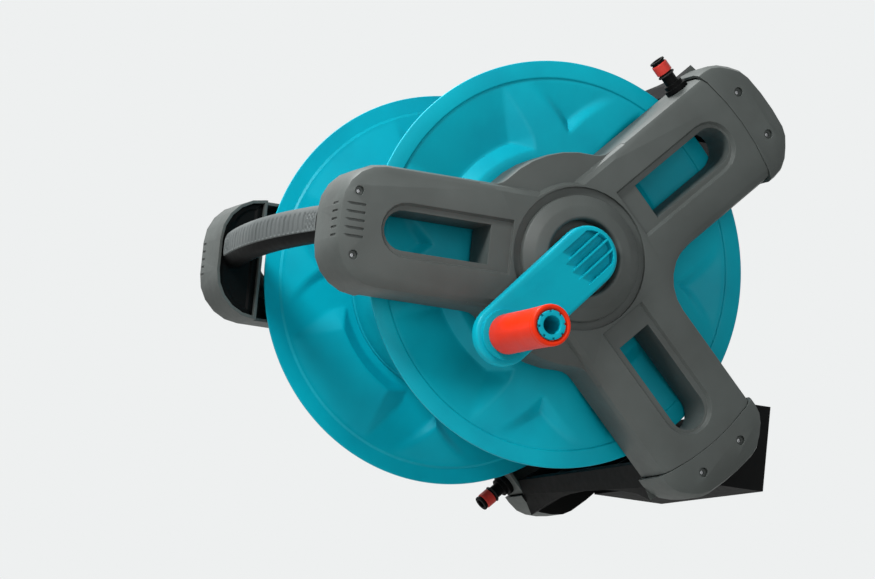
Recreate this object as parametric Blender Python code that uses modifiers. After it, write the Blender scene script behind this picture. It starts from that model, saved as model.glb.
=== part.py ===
"""Wall hose reel: a drum with embossed flanges turning in a three-armed frame on a wall bracket.

Metres, +Z up. X runs along the drum axis with +X on the crank side. +Y points at the wall,
whose face is y = 0. The origin is the centre of the wall bracket's back face.
Profiles and outlines are written in hub coordinates: y and z measured from the drum axis.
"""
import math

import bmesh
import bpy
from mathutils import Matrix, Vector

# Fit between pieces that touch
FIT = 0.0003

# Drum, and the air between its rim and the wall
FLANGE_R = 0.200
WALL_GAP = 0.055
HUB_TO_WALL = FLANGE_R + WALL_GAP
FLANGE_X = 0.140
SHEET = 0.0025
RIM_WIDTH = 0.017
STEP_R = FLANGE_R - RIM_WIDTH
PANEL_DROP = 0.0018
FIELD_OUT_R = STEP_R - 0.003
FIELD_DROP = 0.0105
WELL_R = 0.1175
FIELD_IN_R = WELL_R + 0.002
WELL_DEPTH = 0.018
WELL_X = FLANGE_X - WELL_DEPTH
FACET_DEG = 25.0
FLOOR_DEG = 16.0
V_APEX_R = 0.143
V_FOOT_R = 0.127
V_TOP_DEG = 12.5
V_FOOT_DEG = 16.5
QUARTER_DEG = (0, 5, 10, 15, 20, 25, 31.7, 38.3, 45)
CORE_STEP = 0.0125
CORE_R = WELL_R - CORE_STEP
CORE_WALL = 0.0035
WATER_R = 0.006
OUTLET_DEG = 25
OUTLET_IN = 0.037
OUTLET_X = WELL_X - OUTLET_IN
OUTLET_R = 0.008

# Crossbeam, just clear of the flanges
BEAM_GAP = 0.010
BEAM_DEPTH = 0.038
BEAM_IN_R = FLANGE_R + BEAM_GAP
BEAM_OUT_R = BEAM_IN_R + BEAM_DEPTH
BEAM_RISE = 0.016
BEAM_WALL = 0.0035
BEAM_BASE_DROP = 0.054
BEAM_BASE_Z = BEAM_IN_R - BEAM_BASE_DROP
BEAM_TOP_DEG = 60
BEAM_RIB = 0.0025

# Frame shell: a disc with one arm to the front and two arms to the wall side
DRUM_GAP = 0.004
SHELL_DEPTH = 0.050
SHELL_X = FLANGE_X + DRUM_GAP
FACE_X = SHELL_X + SHELL_DEPTH
TIP_DEPTH = 0.060
TIP_X = FACE_X - TIP_DEPTH
SHELL_WALL = 0.003
EDGE_DEPTH = 0.011
EDGE_IN = 0.009
DISC_R = 0.105
ARM_HALF = 0.061
ARM_FILLET = 0.020
TIP_GAP = 0.005
TIP_START = FLANGE_R + TIP_GAP
FRONT_TIP = 0.047
FRONT_REACH = TIP_START + FRONT_TIP
FRONT_CORNER = 0.045
END_LAP = 0.013
END_R = BEAM_OUT_R + END_LAP
CAP_LENGTH = 0.036
PARTING_R = END_R - CAP_LENGTH
END_CORNER = 0.035
FRONT_ANGLE = math.pi
UPPER_ANGLE = math.radians(45)
LOWER_ANGLE = math.radians(-45)
ARM_ANGLES = (FRONT_ANGLE, UPPER_ANGLE, LOWER_ANGLE)

# Long slot in each arm
POCKET_DEPTH = 0.004
POCKET_EDGE = 0.008
SLOT_HALF = 0.0195
POCKET_HALF = SLOT_HALF + POCKET_EDGE
LINER = 0.003
HUB_RING_R = 0.070
POCKET_IN = HUB_RING_R + 0.002
SLOT_IN = POCKET_IN + 0.022
SLOT_STOP = 0.021
SLOT_OUT = PARTING_R - SLOT_STOP

# Front tip grip grooves
GROOVE_PITCH = 0.0078
GROOVE_WIDTH = 0.0024
GROOVE_COUNT = 5
GROOVE_LENGTH = 0.026

# Frame hub
COVER_R = 0.0615
COVER_HOLE_R = 0.037
COVER_RISE = 0.012
COVER_TOP_X = FACE_X + COVER_RISE
BARREL_WALL_R = 0.0925
BARREL_STEP = 0.008
BARREL_WALL_X = WELL_X + BARREL_STEP
AXLE_R = 0.016
AXLE_FIT = 0.0003
BUSH_WALL = 0.006
BUSH_HOLE_R = AXLE_R + BUSH_WALL
BUSH_LIP = 0.005
BUSH_SEAT_R = BUSH_HOLE_R + BUSH_LIP
BUSH_IN_X = SHELL_X + 0.006
BUSH_LIP_T = 0.0032
BUSH_STOP = 0.0045

# Frame screws
FRONT_SCREW_IN = 0.018
FRONT_SCREW_U = FRONT_REACH - FRONT_SCREW_IN
FRONT_SCREW_V = 0.031
END_SCREW_IN = 0.0185
END_SCREW_R = END_R - END_SCREW_IN
END_SCREW_DEG = 6.1
SCREW_SINK = 0.0022
SCREW_SINK_R = 0.0048
SCREW_HEAD_R = 0.0034
SCREW_HEAD = 0.0016
SCREW_R = 0.0018
SCREW_LENGTH = 0.016
SCREW_BORE = 0.021
BOSS_R = 0.0052
TONGUE_STEP = 0.006
TONGUE_X = SHELL_X + TONGUE_STEP
TONGUE_T = 0.0045

# Crank and grip
CRANK_DEG = 227.7
CRANK_LENGTH = 0.119
CRANK_HALF = 0.030
CRANK_T = 0.0102
CRANK_GAP = 0.0008
CRANK_BACK_X = COVER_TOP_X + CRANK_GAP
CRANK_FACE_X = CRANK_BACK_X + CRANK_T
CRANK_BEVEL = 0.003
CRANK_SKIN = 0.0025
CRANK_BOSS_R = 0.028
CRANK_BOSS = 0.0096
COLLAR_R = 0.0245
COLLAR_RISE = 0.0045
COLLAR_X = CRANK_FACE_X + COLLAR_RISE
PEG_R = 0.0117
PEG_BORE_R = 0.008
PEG_LIP_R = 0.013
PEG_LENGTH = 0.1065
PEG_END_X = COLLAR_X + PEG_LENGTH
GRIP_R = 0.021
GRIP_END_R = 0.0205
AXLE_GAP = 0.0006
AXLE_END_X = CRANK_BACK_X - CRANK_SKIN - AXLE_GAP
AXLE_FAR_X = -(FACE_X - 0.0065)
AXLE_WALL = 0.006

# Carry handle
HANDLE_Z = 0.00645
HANDLE_HALF = 0.01225
HANDLE_DEPTH = 0.033
HANDLE_OVER = 0.010
HANDLE_FRONT = FRONT_REACH + HANDLE_OVER
HANDLE_BOW = 0.0135
BOW_X = TIP_X
HANDLE_TAIL = 0.019
HANDLE_END_X = TIP_X + HANDLE_TAIL
HANDLE_POST_R = 0.0038
HANDLE_PAD = 0.007
SKIN = 0.0022
SKIN_GAP = 0.007
SKIN_X = TIP_X - SKIN_GAP
RIBS = 22
HANDLE_SIDES = 10
RIB_HEIGHT = 0.0014

# Wall bracket and the crossbeam's hook, which drops behind the bracket's lip
BRACKET_HALF = 0.118
BRACKET_REACH = 0.077
BRACKET_T = 0.005
BRACKET_HEIGHT = 0.085
HOOK_HALF_X = 0.100
HOOK_LAND = 0.011
HOOK_GAP = 0.029
HOOK_Y = HUB_TO_WALL - HOOK_GAP
HOOK_T = 0.005
HOOK_DEPTH = 0.029
HOOK_DROP = BEAM_BASE_Z + HOOK_DEPTH
LIP_GAP = 0.009
LIP_Y = HOOK_Y - HOOK_T - LIP_GAP
LIP_Z = -(BEAM_BASE_Z + 0.002)
BRACKET_LOW_Z = -(HOOK_DROP + BRACKET_T)
BRACKET_TOP_Z = BRACKET_LOW_Z + BRACKET_HEIGHT
BRACKET_FLOOR = 0.004
BRACKET_CORNER = 0.012
HUB_HEIGHT = -(BRACKET_LOW_Z + BRACKET_TOP_Z) / 2
WALL_HOLE_X = 0.085
WALL_HOLE_Z = 0.0225
WALL_HOLE_R = 0.0032

# Parked nipples and inlet
NIPPLE_R = 0.0068
NIPPLE_BORE_R = 0.0045
RING_R = 0.0083
NIPPLE_STEP = 0.023
NIPPLE_X = SHELL_X + NIPPLE_STEP
NIPPLE_IN = 0.024
NIPPLE_U = PARTING_R - NIPPLE_IN
NIPPLE_SEAT_R = 0.0063
INLET_RISE = 0.022
INLET_X = -(COVER_TOP_X + INLET_RISE)
INLET_R = 0.012
INLET_PLUG_R = 0.0082
INLET_PLUG_X = -(FACE_X - 0.036)


def clear_scene():
    for item in list(bpy.data.objects):
        bpy.data.objects.remove(item, do_unlink=True)


def collection(name):
    group = bpy.data.collections.new(name)
    bpy.context.scene.collection.children.link(group)
    return group


clear_scene()
PARTS = collection("wall_hose_reel")
CUTTERS = collection("cutters")


def linear(code):
    values = []
    for start in (0, 2, 4):
        c = int(code[start:start + 2], 16) / 255
        values.append(c / 12.92 if c <= 0.04045 else ((c + 0.055) / 1.055) ** 2.4)
    return (*values, 1.0)


LOOKS = {
    "teal": ("00A0B2", 0.38, 0.0),
    "dark_grey": ("5A5F5A", 0.55, 0.0),
    "black": ("1B1D1D", 0.5, 0.0),
    "soft_grey": ("3B4143", 0.75, 0.0),
    "orange": ("EE3A1C", 0.42, 0.0),
    "red": ("C0392B", 0.4, 0.0),
    "rubber": ("141414", 0.8, 0.0),
    "steel": ("C8CACC", 0.25, 1.0),
    "bush": ("D8D8D0", 0.5, 0.0),
}


def material(name, look):
    code, rough, metal = LOOKS[look]
    mat = bpy.data.materials.new(name)
    mat.use_nodes = True
    shader = mat.node_tree.nodes["Principled BSDF"]
    shader.inputs["Base Color"].default_value = linear(code)
    shader.inputs["Roughness"].default_value = rough
    shader.inputs["Metallic"].default_value = metal
    mat.diffuse_color = linear(code)
    return mat


def empty(name, place):
    pivot = bpy.data.objects.new(name, None)
    pivot.location = place
    PARTS.objects.link(pivot)
    return pivot


hub = empty("hub_axis", (0, -HUB_TO_WALL, HUB_HEIGHT))
knob_y = CRANK_LENGTH * math.cos(math.radians(CRANK_DEG))
knob_z = CRANK_LENGTH * math.sin(math.radians(CRANK_DEG))
knob = empty("knob_axis", (0, knob_y, knob_z))
knob.parent = hub


def add(name, mesh, group=PARTS, parent=hub):
    item = bpy.data.objects.new(name, mesh)
    group.objects.link(item)
    item.parent = parent
    if group is CUTTERS:
        item.hide_render = True
        item.hide_viewport = False
        item.display_type = "WIRE"
    return item


def finish(item, look, smooth=None):
    item.data.materials.clear()
    item.data.materials.append(material(item.name + "_material", look))
    if smooth:
        item.data.shade_smooth()
        item.data.set_sharp_from_angle(angle=math.radians(smooth))
    return item


def mesh_from(name, bm):
    mesh = bpy.data.meshes.new(name)
    bmesh.ops.recalc_face_normals(bm, faces=bm.faces)
    bm.to_mesh(mesh)
    bm.free()
    return mesh


def evaluated(item):
    graph = bpy.context.evaluated_depsgraph_get()
    graph.update()
    return bpy.data.meshes.new_from_object(item.evaluated_get(graph))


def boolean(item, tool, kind="DIFFERENCE"):
    change = item.modifiers.new(kind.lower(), "BOOLEAN")
    change.operation = kind
    change.solver = "EXACT"
    change.object = tool


def loft(name, sections, group=CUTTERS):
    """Skin through sections of equal point count, each a list of (x, y, z), with capped ends."""
    bm = bmesh.new()
    rings = [[bm.verts.new(point) for point in section] for section in sections]
    for low, high in zip(rings, rings[1:]):
        count = len(low)
        for i in range(count):
            j = (i + 1) % count
            bm.faces.new((low[i], low[j], high[j], high[i]))
    caps = [bm.faces.new(rings[0]), bm.faces.new(rings[-1])]
    bm.normal_update()
    bmesh.ops.triangulate(bm, faces=caps, ngon_method="EAR_CLIP")
    twisted = [face for face in bm.faces if len(face.verts) == 4]
    bmesh.ops.triangulate(bm, faces=twisted)
    return add(name, mesh_from(name, bm), group)


def plate(name, outlines, x0, x1, group=CUTTERS):
    """Flat outline in the y-z plane between x0 and x1: a filled 2D curve with an extrude."""
    curve = bpy.data.curves.new(name, "CURVE")
    curve.dimensions = "2D"
    curve.fill_mode = "BOTH"
    curve.extrude = abs(x1 - x0) / 2
    for outline in outlines:
        spline = curve.splines.new("POLY")
        spline.points.add(len(outline) - 1)
        spline.use_cyclic_u = True
        for point, (y, z) in zip(spline.points, outline):
            point.co = (y, z, 0, 1)
    holder = bpy.data.objects.new(name + "_curve", curve)
    CUTTERS.objects.link(holder)
    mesh = evaluated(holder)
    bpy.data.objects.remove(holder, do_unlink=True)
    bm = bmesh.new()
    bm.from_mesh(mesh)
    bmesh.ops.remove_doubles(bm, verts=bm.verts, dist=1e-6)
    turn = Matrix(((0, 0, 1, (x0 + x1) / 2), (1, 0, 0, 0), (0, 1, 0, 0), (0, 0, 0, 1)))
    bmesh.ops.transform(bm, matrix=turn, verts=bm.verts)
    return add(name, mesh_from(name, bm), group)


def block(name, low, high, group=CUTTERS):
    bm = bmesh.new()
    bmesh.ops.create_cube(bm, size=1)
    centre = (Vector(low) + Vector(high)) / 2
    span = Vector(high) - Vector(low)
    bmesh.ops.scale(bm, vec=span, verts=bm.verts)
    bmesh.ops.translate(bm, vec=centre, verts=bm.verts)
    return add(name, mesh_from(name, bm), group)


def rod(name, start, end, radius, steps=24, group=CUTTERS):
    start = Vector(start)
    run = Vector(end) - start
    bm = bmesh.new()
    bmesh.ops.create_cone(bm, cap_ends=True, segments=steps, radius1=radius,
                          radius2=radius, depth=run.length)
    turn = run.to_track_quat("Z", "Y").to_matrix().to_4x4()
    turn.translation = start + run / 2
    bmesh.ops.transform(bm, matrix=turn, verts=bm.verts)
    return add(name, mesh_from(name, bm), group)


def turned(name, profile, steps, group=PARTS, parent=hub, place=None):
    """Closed profile of (radius, x) swept about the X axis by a Screw modifier."""
    bm = bmesh.new()
    verts = [bm.verts.new((x, radius, 0)) for radius, x in profile]
    on_axis = profile[0][0] == 0 and profile[-1][0] == 0
    for a, b in zip(verts, verts[1:]):
        bm.edges.new((a, b))
    if not on_axis:
        bm.edges.new((verts[-1], verts[0]))
    mesh = bpy.data.meshes.new(name)
    bm.to_mesh(mesh)
    bm.free()
    item = add(name, mesh, group, parent)
    screw = item.modifiers.new("turn", "SCREW")
    screw.axis = "X"
    screw.angle = math.tau
    screw.steps = steps
    screw.render_steps = steps
    screw.use_merge_vertices = True
    screw.merge_threshold = 0.00001
    screw.use_normal_calculate = True
    if place is not None:
        item.matrix_local = place
    return item


def baked(item, merge_flats=True):
    """Same object with its modifiers applied, flat fields merged and faces turned outwards."""
    bm = bmesh.new()
    bm.from_mesh(evaluated(item))
    bmesh.ops.remove_doubles(bm, verts=bm.verts, dist=2e-6)
    bmesh.ops.dissolve_degenerate(bm, edges=bm.edges, dist=2e-6)
    if merge_flats:
        limit = math.radians(0.2)
        bmesh.ops.dissolve_limit(bm, angle_limit=limit, verts=bm.verts, edges=bm.edges)
        bmesh.ops.triangulate(bm, faces=bm.faces, ngon_method="EAR_CLIP")
    bmesh.ops.recalc_face_normals(bm, faces=bm.faces)
    item.modifiers.clear()
    bm.to_mesh(item.data)
    bm.free()
    return item


def arc(cy, cz, radius, start, end, steps):
    points = []
    for i in range(steps + 1):
        a = math.radians(start + (end - start) * i / steps)
        points.append((cy + radius * math.cos(a), cz + radius * math.sin(a)))
    return points


def swing(points, angle):
    c = math.cos(angle)
    s = math.sin(angle)
    return [(u * c - v * s, u * s + v * c) for u, v in points]


def at(x, points):
    return [(x, y, z) for y, z in points]


def frame_outline(inset, parting):
    """Outline of the shell, drawn in by the inset; the wall side arms stop at the parting arc."""
    half = ARM_HALF - inset
    fillet = ARM_FILLET + inset
    fy = math.sqrt((DISC_R + ARM_FILLET) ** 2 - (ARM_HALF + ARM_FILLET) ** 2)
    fz = ARM_HALF + ARM_FILLET
    tilt = math.degrees(math.atan2(fz, fy))
    edge = math.degrees(math.asin(half / parting))
    notch_r = (DISC_R * math.sin(UPPER_ANGLE) - ARM_HALF) / (1 - math.sin(UPPER_ANGLE))
    points = arc(DISC_R + notch_r, 0, notch_r + inset, 225, 135, 6)
    points += swing(arc(0, 0, parting, -edge, edge, 4), UPPER_ANGLE)
    points += swing(arc(fy, fz, fillet, -90, tilt - 180, 3), UPPER_ANGLE)
    points += arc(0, 0, DISC_R - inset, 45 + tilt, 180 - tilt, 6)[1:-1]
    points += swing(arc(fy, -fz, fillet, 180 - tilt, 90, 3), FRONT_ANGLE)
    points += swing(tip_corners(inset), FRONT_ANGLE)
    points += swing(arc(fy, fz, fillet, -90, tilt - 180, 3), FRONT_ANGLE)
    points += arc(0, 0, DISC_R - inset, 180 + tilt, 315 - tilt, 6)[1:-1]
    points += swing(arc(fy, -fz, fillet, 180 - tilt, 90, 3), LOWER_ANGLE)
    points += swing(arc(0, 0, parting, -edge, edge, 4), LOWER_ANGLE)
    return points


def tip_corners(inset):
    cu = FRONT_REACH - FRONT_CORNER
    cv = ARM_HALF - FRONT_CORNER
    corner = FRONT_CORNER - inset
    return arc(cu, -cv, corner, -90, 0, 5) + arc(cu, cv, corner, 0, 90, 5)


def end_outline(inset, start_r):
    """Outline of an arm's end beyond the parting arc, in the arm's own u and v."""
    half = ARM_HALF - inset
    edge = math.degrees(math.asin(half / start_r))
    cv = ARM_HALF - END_CORNER
    cu = math.sqrt((END_R - END_CORNER) ** 2 - cv ** 2)
    lean = math.degrees(math.atan2(cv, cu))
    points = arc(0, 0, start_r, edge, -edge, 4)
    points += arc(cu, -cv, END_CORNER - inset, -90, -lean, 5)
    points += arc(0, 0, END_R - inset, -lean, lean, 3)[1:-1]
    points += arc(cu, cv, END_CORNER - inset, lean, 90, 5)
    return points


def stadium(half, inner, outer):
    """Slot outline along u: flat inner end, round outer end."""
    centre = outer - half
    return [(inner, half), (inner, -half)] + arc(centre, 0, half, -90, 90, 10)


def shell_levels(outline, low_x):
    """Sections of a moulded shell from its open edge to its rounded face."""
    edge_x = FACE_X - EDGE_DEPTH
    return [
        at(low_x, outline(0)),
        at(edge_x, outline(0)),
        at(FACE_X - 0.0036, outline(0.0026)),
        at(FACE_X, outline(EDGE_IN)),
    ]


def cavity_levels(outline, low_x):
    edge_x = FACE_X - EDGE_DEPTH - 0.001
    wall = SHELL_WALL
    return [
        at(low_x, outline(wall)),
        at(edge_x, outline(wall)),
        at(FACE_X - wall, outline(EDGE_IN + wall * 0.3)),
    ]


def screw_hole(item, name, side, y, z, depth):
    """Stepped screw hole through the face on the given side."""
    steps = ((depth, SCREW_R + FIT), (SCREW_SINK, SCREW_R + FIT),
             (SCREW_SINK, SCREW_SINK_R), (-0.002, SCREW_SINK_R))
    levels = []
    for sink, radius in steps:
        levels.append(at(side * (FACE_X - sink), arc(y, z, radius, 9, 369, 10)[:-1]))
    boolean(item, loft(name, levels))


def end_spots(angle):
    lean = math.radians(END_SCREW_DEG)
    return [(END_SCREW_R * math.cos(angle + s * lean), END_SCREW_R * math.sin(angle + s * lean))
            for s in (-1, 1)]


FRONT_SPOTS = [(-FRONT_SCREW_U, FRONT_SCREW_V), (-FRONT_SCREW_U, -FRONT_SCREW_V)]
BOSS_TOP_X = FACE_X - SHELL_WALL - FIT


def build_frame():
    """Right frame shell: hollow three-armed moulding, open towards the drum."""
    body = loft("right_frame", shell_levels(lambda d: frame_outline(d, PARTING_R), TIP_X), PARTS)
    far = FRONT_REACH + 0.05
    step = block("frame_step", (TIP_X - 0.02, -TIP_START, -far), (SHELL_X, far, far))
    boolean(body, step)

    hollow = loft("frame_hollow", cavity_levels(
        lambda d: frame_outline(d, PARTING_R - SHELL_WALL), TIP_X - 0.002))
    wall_step = block("frame_wall_step", (TIP_X - 0.03, -TIP_START - SHELL_WALL, -far),
                      (SHELL_X - 0.0005, far, far))
    boolean(hollow, wall_step)
    floor_x = FACE_X - POCKET_DEPTH - SHELL_WALL
    for i, angle in enumerate(ARM_ANGLES):
        liner = plate(f"slot_liner_{i}", [swing(stadium(
            SLOT_HALF + LINER, SLOT_IN - LINER, SLOT_OUT + LINER), angle)], SHELL_X - 0.006, FACE_X)
        tray = plate(f"pocket_tray_{i}", [swing(stadium(
            POCKET_HALF + LINER, POCKET_IN - LINER, SLOT_OUT + 0.005 + LINER), angle)],
            floor_x, FACE_X)
        boolean(hollow, liner)
        boolean(hollow, tray)
    hub_tray = rod("hub_tray", (floor_x, 0, 0), (FACE_X, 0, 0), HUB_RING_R + LINER, 24)
    bearing = rod("hub_bearing", (BUSH_IN_X, 0, 0), (FACE_X, 0, 0), BUSH_SEAT_R, 24)
    boolean(hollow, hub_tray)
    boolean(hollow, bearing)
    boolean(body, hollow)

    ring = turned("hub_barrel", [(BARREL_WALL_R, BARREL_WALL_X), (BARREL_WALL_R, floor_x + 0.0005),
                                 (BARREL_WALL_R - LINER, floor_x + 0.0005),
                                 (BARREL_WALL_R - LINER, BARREL_WALL_X)], 32, CUTTERS)
    boolean(body, baked(ring), "UNION")

    for i, angle in enumerate(ARM_ANGLES):
        pocket = loft(f"pocket_{i}", [
            at(FACE_X - POCKET_DEPTH, swing(stadium(POCKET_HALF - 0.0028, POCKET_IN,
                                                   SLOT_OUT + 0.002), angle)),
            at(FACE_X + 0.001, swing(stadium(POCKET_HALF, POCKET_IN, SLOT_OUT + 0.005), angle))])
        slot = plate(f"slot_{i}", [swing(stadium(SLOT_HALF, SLOT_IN, SLOT_OUT), angle)],
                     WELL_X, FACE_X + 0.001)
        boolean(body, pocket)
        boolean(body, slot)
    hub_cut = rod("hub_ring", (FACE_X - POCKET_DEPTH, 0, 0), (FACE_X + 0.001, 0, 0), HUB_RING_R, 40)
    hub_bore = rod("hub_bore", (BUSH_IN_X - 0.002, 0, 0), (FACE_X, 0, 0), BUSH_HOLE_R, 24)
    boolean(body, hub_cut)
    boolean(body, hub_bore)

    for i in range(GROOVE_COUNT):
        z = (i - (GROOVE_COUNT - 1) / 2) * GROOVE_PITCH + GROOVE_WIDTH
        groove = block(f"tip_groove_{i}", (FACE_X - 0.0015, -FRONT_REACH - 0.002, z - GROOVE_WIDTH / 2),
                       (FACE_X + 0.001, -FRONT_REACH + GROOVE_LENGTH, z + GROOVE_WIDTH / 2))
        side = block(f"side_groove_{i}", (FACE_X - 0.020, -FRONT_REACH - 0.002, z - GROOVE_WIDTH / 2),
                     (FACE_X + 0.001, -FRONT_REACH + 0.0012, z + GROOVE_WIDTH / 2))
        boolean(body, groove)
        boolean(body, side)

    for i, angle in enumerate((UPPER_ANGLE, LOWER_ANGLE)):
        tongue = plate(f"tongue_{i}", [swing(end_outline(0.0065, PARTING_R - 0.002), angle)],
                       TONGUE_X, TONGUE_X + TONGUE_T)
        boolean(body, tongue, "UNION")
        for k, (y, z) in enumerate(end_spots(angle)):
            boss = rod(f"tongue_boss_{i}_{k}", (TONGUE_X + 0.001, y, z), (BOSS_TOP_X, y, z), BOSS_R, 12)
            boolean(body, boss, "UNION")
            bore = rod(f"tongue_bore_{i}_{k}", (FACE_X - SCREW_BORE, y, z), (FACE_X, y, z),
                       SCREW_R + FIT, 10)
            boolean(body, bore)
    for k, (y, z) in enumerate(FRONT_SPOTS):
        screw_hole(body, f"front_hole_{k}", 1, y, z, 0.010)

    c = math.cos(UPPER_ANGLE)
    inner = ARM_HALF - 0.008
    outer = ARM_HALF + 0.002
    seat = rod("nipple_seat", (NIPPLE_X, NIPPLE_U * c - inner * c, NIPPLE_U * c + inner * c),
               (NIPPLE_X, NIPPLE_U * c - outer * c, NIPPLE_U * c + outer * c), NIPPLE_SEAT_R, 16)
    boolean(body, seat)
    return body


def beam_section(x):
    """Closed section of the crossbeam at x: an arc slab cut level at its lower side."""
    share = 1 - min(1.0, abs(x) / SHELL_X) ** 2
    out_r = BEAM_OUT_R - BEAM_RISE * share
    low_in = math.degrees(math.asin(BEAM_BASE_Z / BEAM_IN_R))
    low_out = math.degrees(math.asin(BEAM_BASE_Z / out_r))
    points = arc(0, 0, BEAM_IN_R, BEAM_TOP_DEG, low_in, 4)
    points += arc(0, 0, out_r, low_out, BEAM_TOP_DEG, 6)
    return points


def beam_hollow_section(x):
    share = 1 - min(1.0, abs(x) / SHELL_X) ** 2
    out_r = BEAM_OUT_R - BEAM_RISE * share - BEAM_WALL
    low_z = BEAM_BASE_Z + BEAM_WALL
    top = BEAM_TOP_DEG - 1.0
    in_r = BEAM_IN_R - 0.004
    low_in = math.degrees(math.asin(low_z / in_r))
    low_out = math.degrees(math.asin(low_z / out_r))
    return arc(0, 0, in_r, top, low_in, 4) + arc(0, 0, out_r, low_out, top, 6)


def beam_rib_section(x):
    share = 1 - min(1.0, abs(x) / SHELL_X) ** 2
    out_r = BEAM_OUT_R - BEAM_RISE * share - BEAM_WALL / 2
    low_z = BEAM_BASE_Z + BEAM_WALL / 2
    in_r = BEAM_IN_R + 0.002
    low_in = math.degrees(math.asin(low_z / in_r))
    low_out = math.degrees(math.asin(low_z / out_r))
    top = BEAM_TOP_DEG - 0.5
    return arc(0, 0, in_r, top, low_in, 4) + arc(0, 0, out_r, low_out, top, 6)


def build_beam():
    """Upper crossbeam: an open channel between two closed end caps, with the hanging hook."""
    end = SHELL_X - FIT
    spans = [end * share for share in (-1, -0.78, -0.52, -0.26, 0, 0.26, 0.52, 0.78, 1)]
    body = loft("upper_crossbeam", [at(x, beam_section(x)) for x in spans], PARTS)
    hollow_end = end - BEAM_WALL
    hollow_spans = [-hollow_end] + spans[1:-1] + [hollow_end]
    boolean(body, loft("beam_hollow", [at(x, beam_hollow_section(x)) for x in hollow_spans]))
    for i, x in enumerate((-end / 2, 0.0, end / 2)):
        rib = loft(f"beam_rib_{i}", [at(x - BEAM_RIB / 2, beam_rib_section(x)),
                                     at(x + BEAM_RIB / 2, beam_rib_section(x))])
        boolean(body, rib, "UNION")

    root = math.sqrt(BEAM_IN_R ** 2 - BEAM_BASE_Z ** 2) + HOOK_LAND
    shelf = block("hook_shelf", (-HOOK_HALF_X, root, BEAM_BASE_Z - HOOK_T),
                  (HOOK_HALF_X, HOOK_Y, BEAM_BASE_Z + 0.0004))
    drop = block("hook_drop", (-HOOK_HALF_X, HOOK_Y - HOOK_T, BEAM_BASE_Z - HOOK_T),
                 (HOOK_HALF_X, HOOK_Y, HOOK_DROP))
    boolean(shelf, drop, "UNION")
    boolean(body, shelf, "UNION")

    for side in (-1, 1):
        def outline(d):
            return swing(end_outline(d, PARTING_R + FIT), UPPER_ANGLE)

        def inner(d):
            return swing(end_outline(d, PARTING_R - 0.002), UPPER_ANGLE)

        levels = shell_levels(outline, SHELL_X - 0.0015)
        spaces = cavity_levels(inner, SHELL_X + 0.004)
        if side < 0:
            levels = [[(-x, y, z) for x, y, z in level] for level in levels]
            spaces = [[(-x, y, z) for x, y, z in level] for level in spaces]
        name = "right" if side > 0 else "left"
        cap = loft(f"{name}_cap", levels)
        for k, (y, z) in enumerate(end_spots(UPPER_ANGLE)):
            screw_hole(cap, f"{name}_cap_hole_{k}", side, y, z, 0.006)
        boolean(cap, loft(f"{name}_cap_hollow", spaces))
        boolean(body, cap, "UNION")
    return body


def relief_drop(radius, degrees):
    """Depth of the embossed field below the rim face, four fields to a turn."""
    phi = abs((degrees + 45) % 90 - 45)
    share = (FIELD_OUT_R - radius) / (FIELD_OUT_R - FIELD_IN_R)
    share = max(0.0, min(1.0, share))
    floor_edge = FACET_DEG - (FACET_DEG - FLOOR_DEG) * share
    side = 1.0 if phi <= floor_edge else (FACET_DEG - phi) / max(0.1, FACET_DEG - floor_edge)
    side = max(0.0, side)
    top = V_APEX_R + (FIELD_OUT_R - V_APEX_R) * phi / V_TOP_DEG
    foot = V_FOOT_R + (FIELD_OUT_R - V_FOOT_R) * phi / V_FOOT_DEG
    wedge = (top - radius) / (top - foot) if top - foot > 1e-6 else 0.0
    wedge = max(0.0, min(1.0, wedge)) if radius < top else 0.0
    return PANEL_DROP + FIELD_DROP * share * min(side, wedge if phi < V_FOOT_DEG else 1.0)


def build_flange():
    """Right flange: a turned sheet whose panels are then pressed in by the relief height."""
    field = FIELD_OUT_R - FIELD_IN_R
    rings = [FIELD_OUT_R - field * share for share in (0, 0.2, 0.41, 0.61, 0.79, 1)]
    face = [(FLANGE_R, FLANGE_X - 0.0012), (FLANGE_R - 0.0015, FLANGE_X)]
    face += [(STEP_R, FLANGE_X)] + [(r, FLANGE_X - PANEL_DROP) for r in rings]
    neck = BUSH_IN_X - BUSH_LIP_T - 2 * FIT
    face += [(WELL_R, WELL_X), (BUSH_HOLE_R, WELL_X), (BUSH_HOLE_R, neck)]
    face += [(AXLE_R + AXLE_FIT, neck), (AXLE_R + AXLE_FIT, WELL_X - SHEET)]
    back = [(WELL_R - 0.0015, WELL_X - SHEET)]
    back += [(r, FLANGE_X - PANEL_DROP - SHEET) for r in reversed(rings)]
    back += [(STEP_R + 0.001, FLANGE_X - SHEET), (FLANGE_R - 0.0012, FLANGE_X - SHEET)]
    item = baked(turned("right_flange", face + back, 64), merge_flats=False)
    quarter = list(QUARTER_DEG[:-1]) + [90 - a for a in reversed(QUARTER_DEG[1:])]
    for vert in item.data.vertices:
        radius = math.hypot(vert.co.y, vert.co.z)
        if radius < WELL_R / 2:
            continue
        turn = math.degrees(math.atan2(vert.co.z, vert.co.y)) % 360
        step = int(round(turn / 5.625)) % 64
        degrees = (step // 16) * 90 + quarter[step % 16]
        vert.co.y = radius * math.cos(math.radians(degrees))
        vert.co.z = radius * math.sin(math.radians(degrees))
        if FIELD_IN_R - 0.0005 <= radius <= FIELD_OUT_R + 0.0005:
            vert.co.x -= relief_drop(radius, degrees) - PANEL_DROP
    return baked(item)


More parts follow.
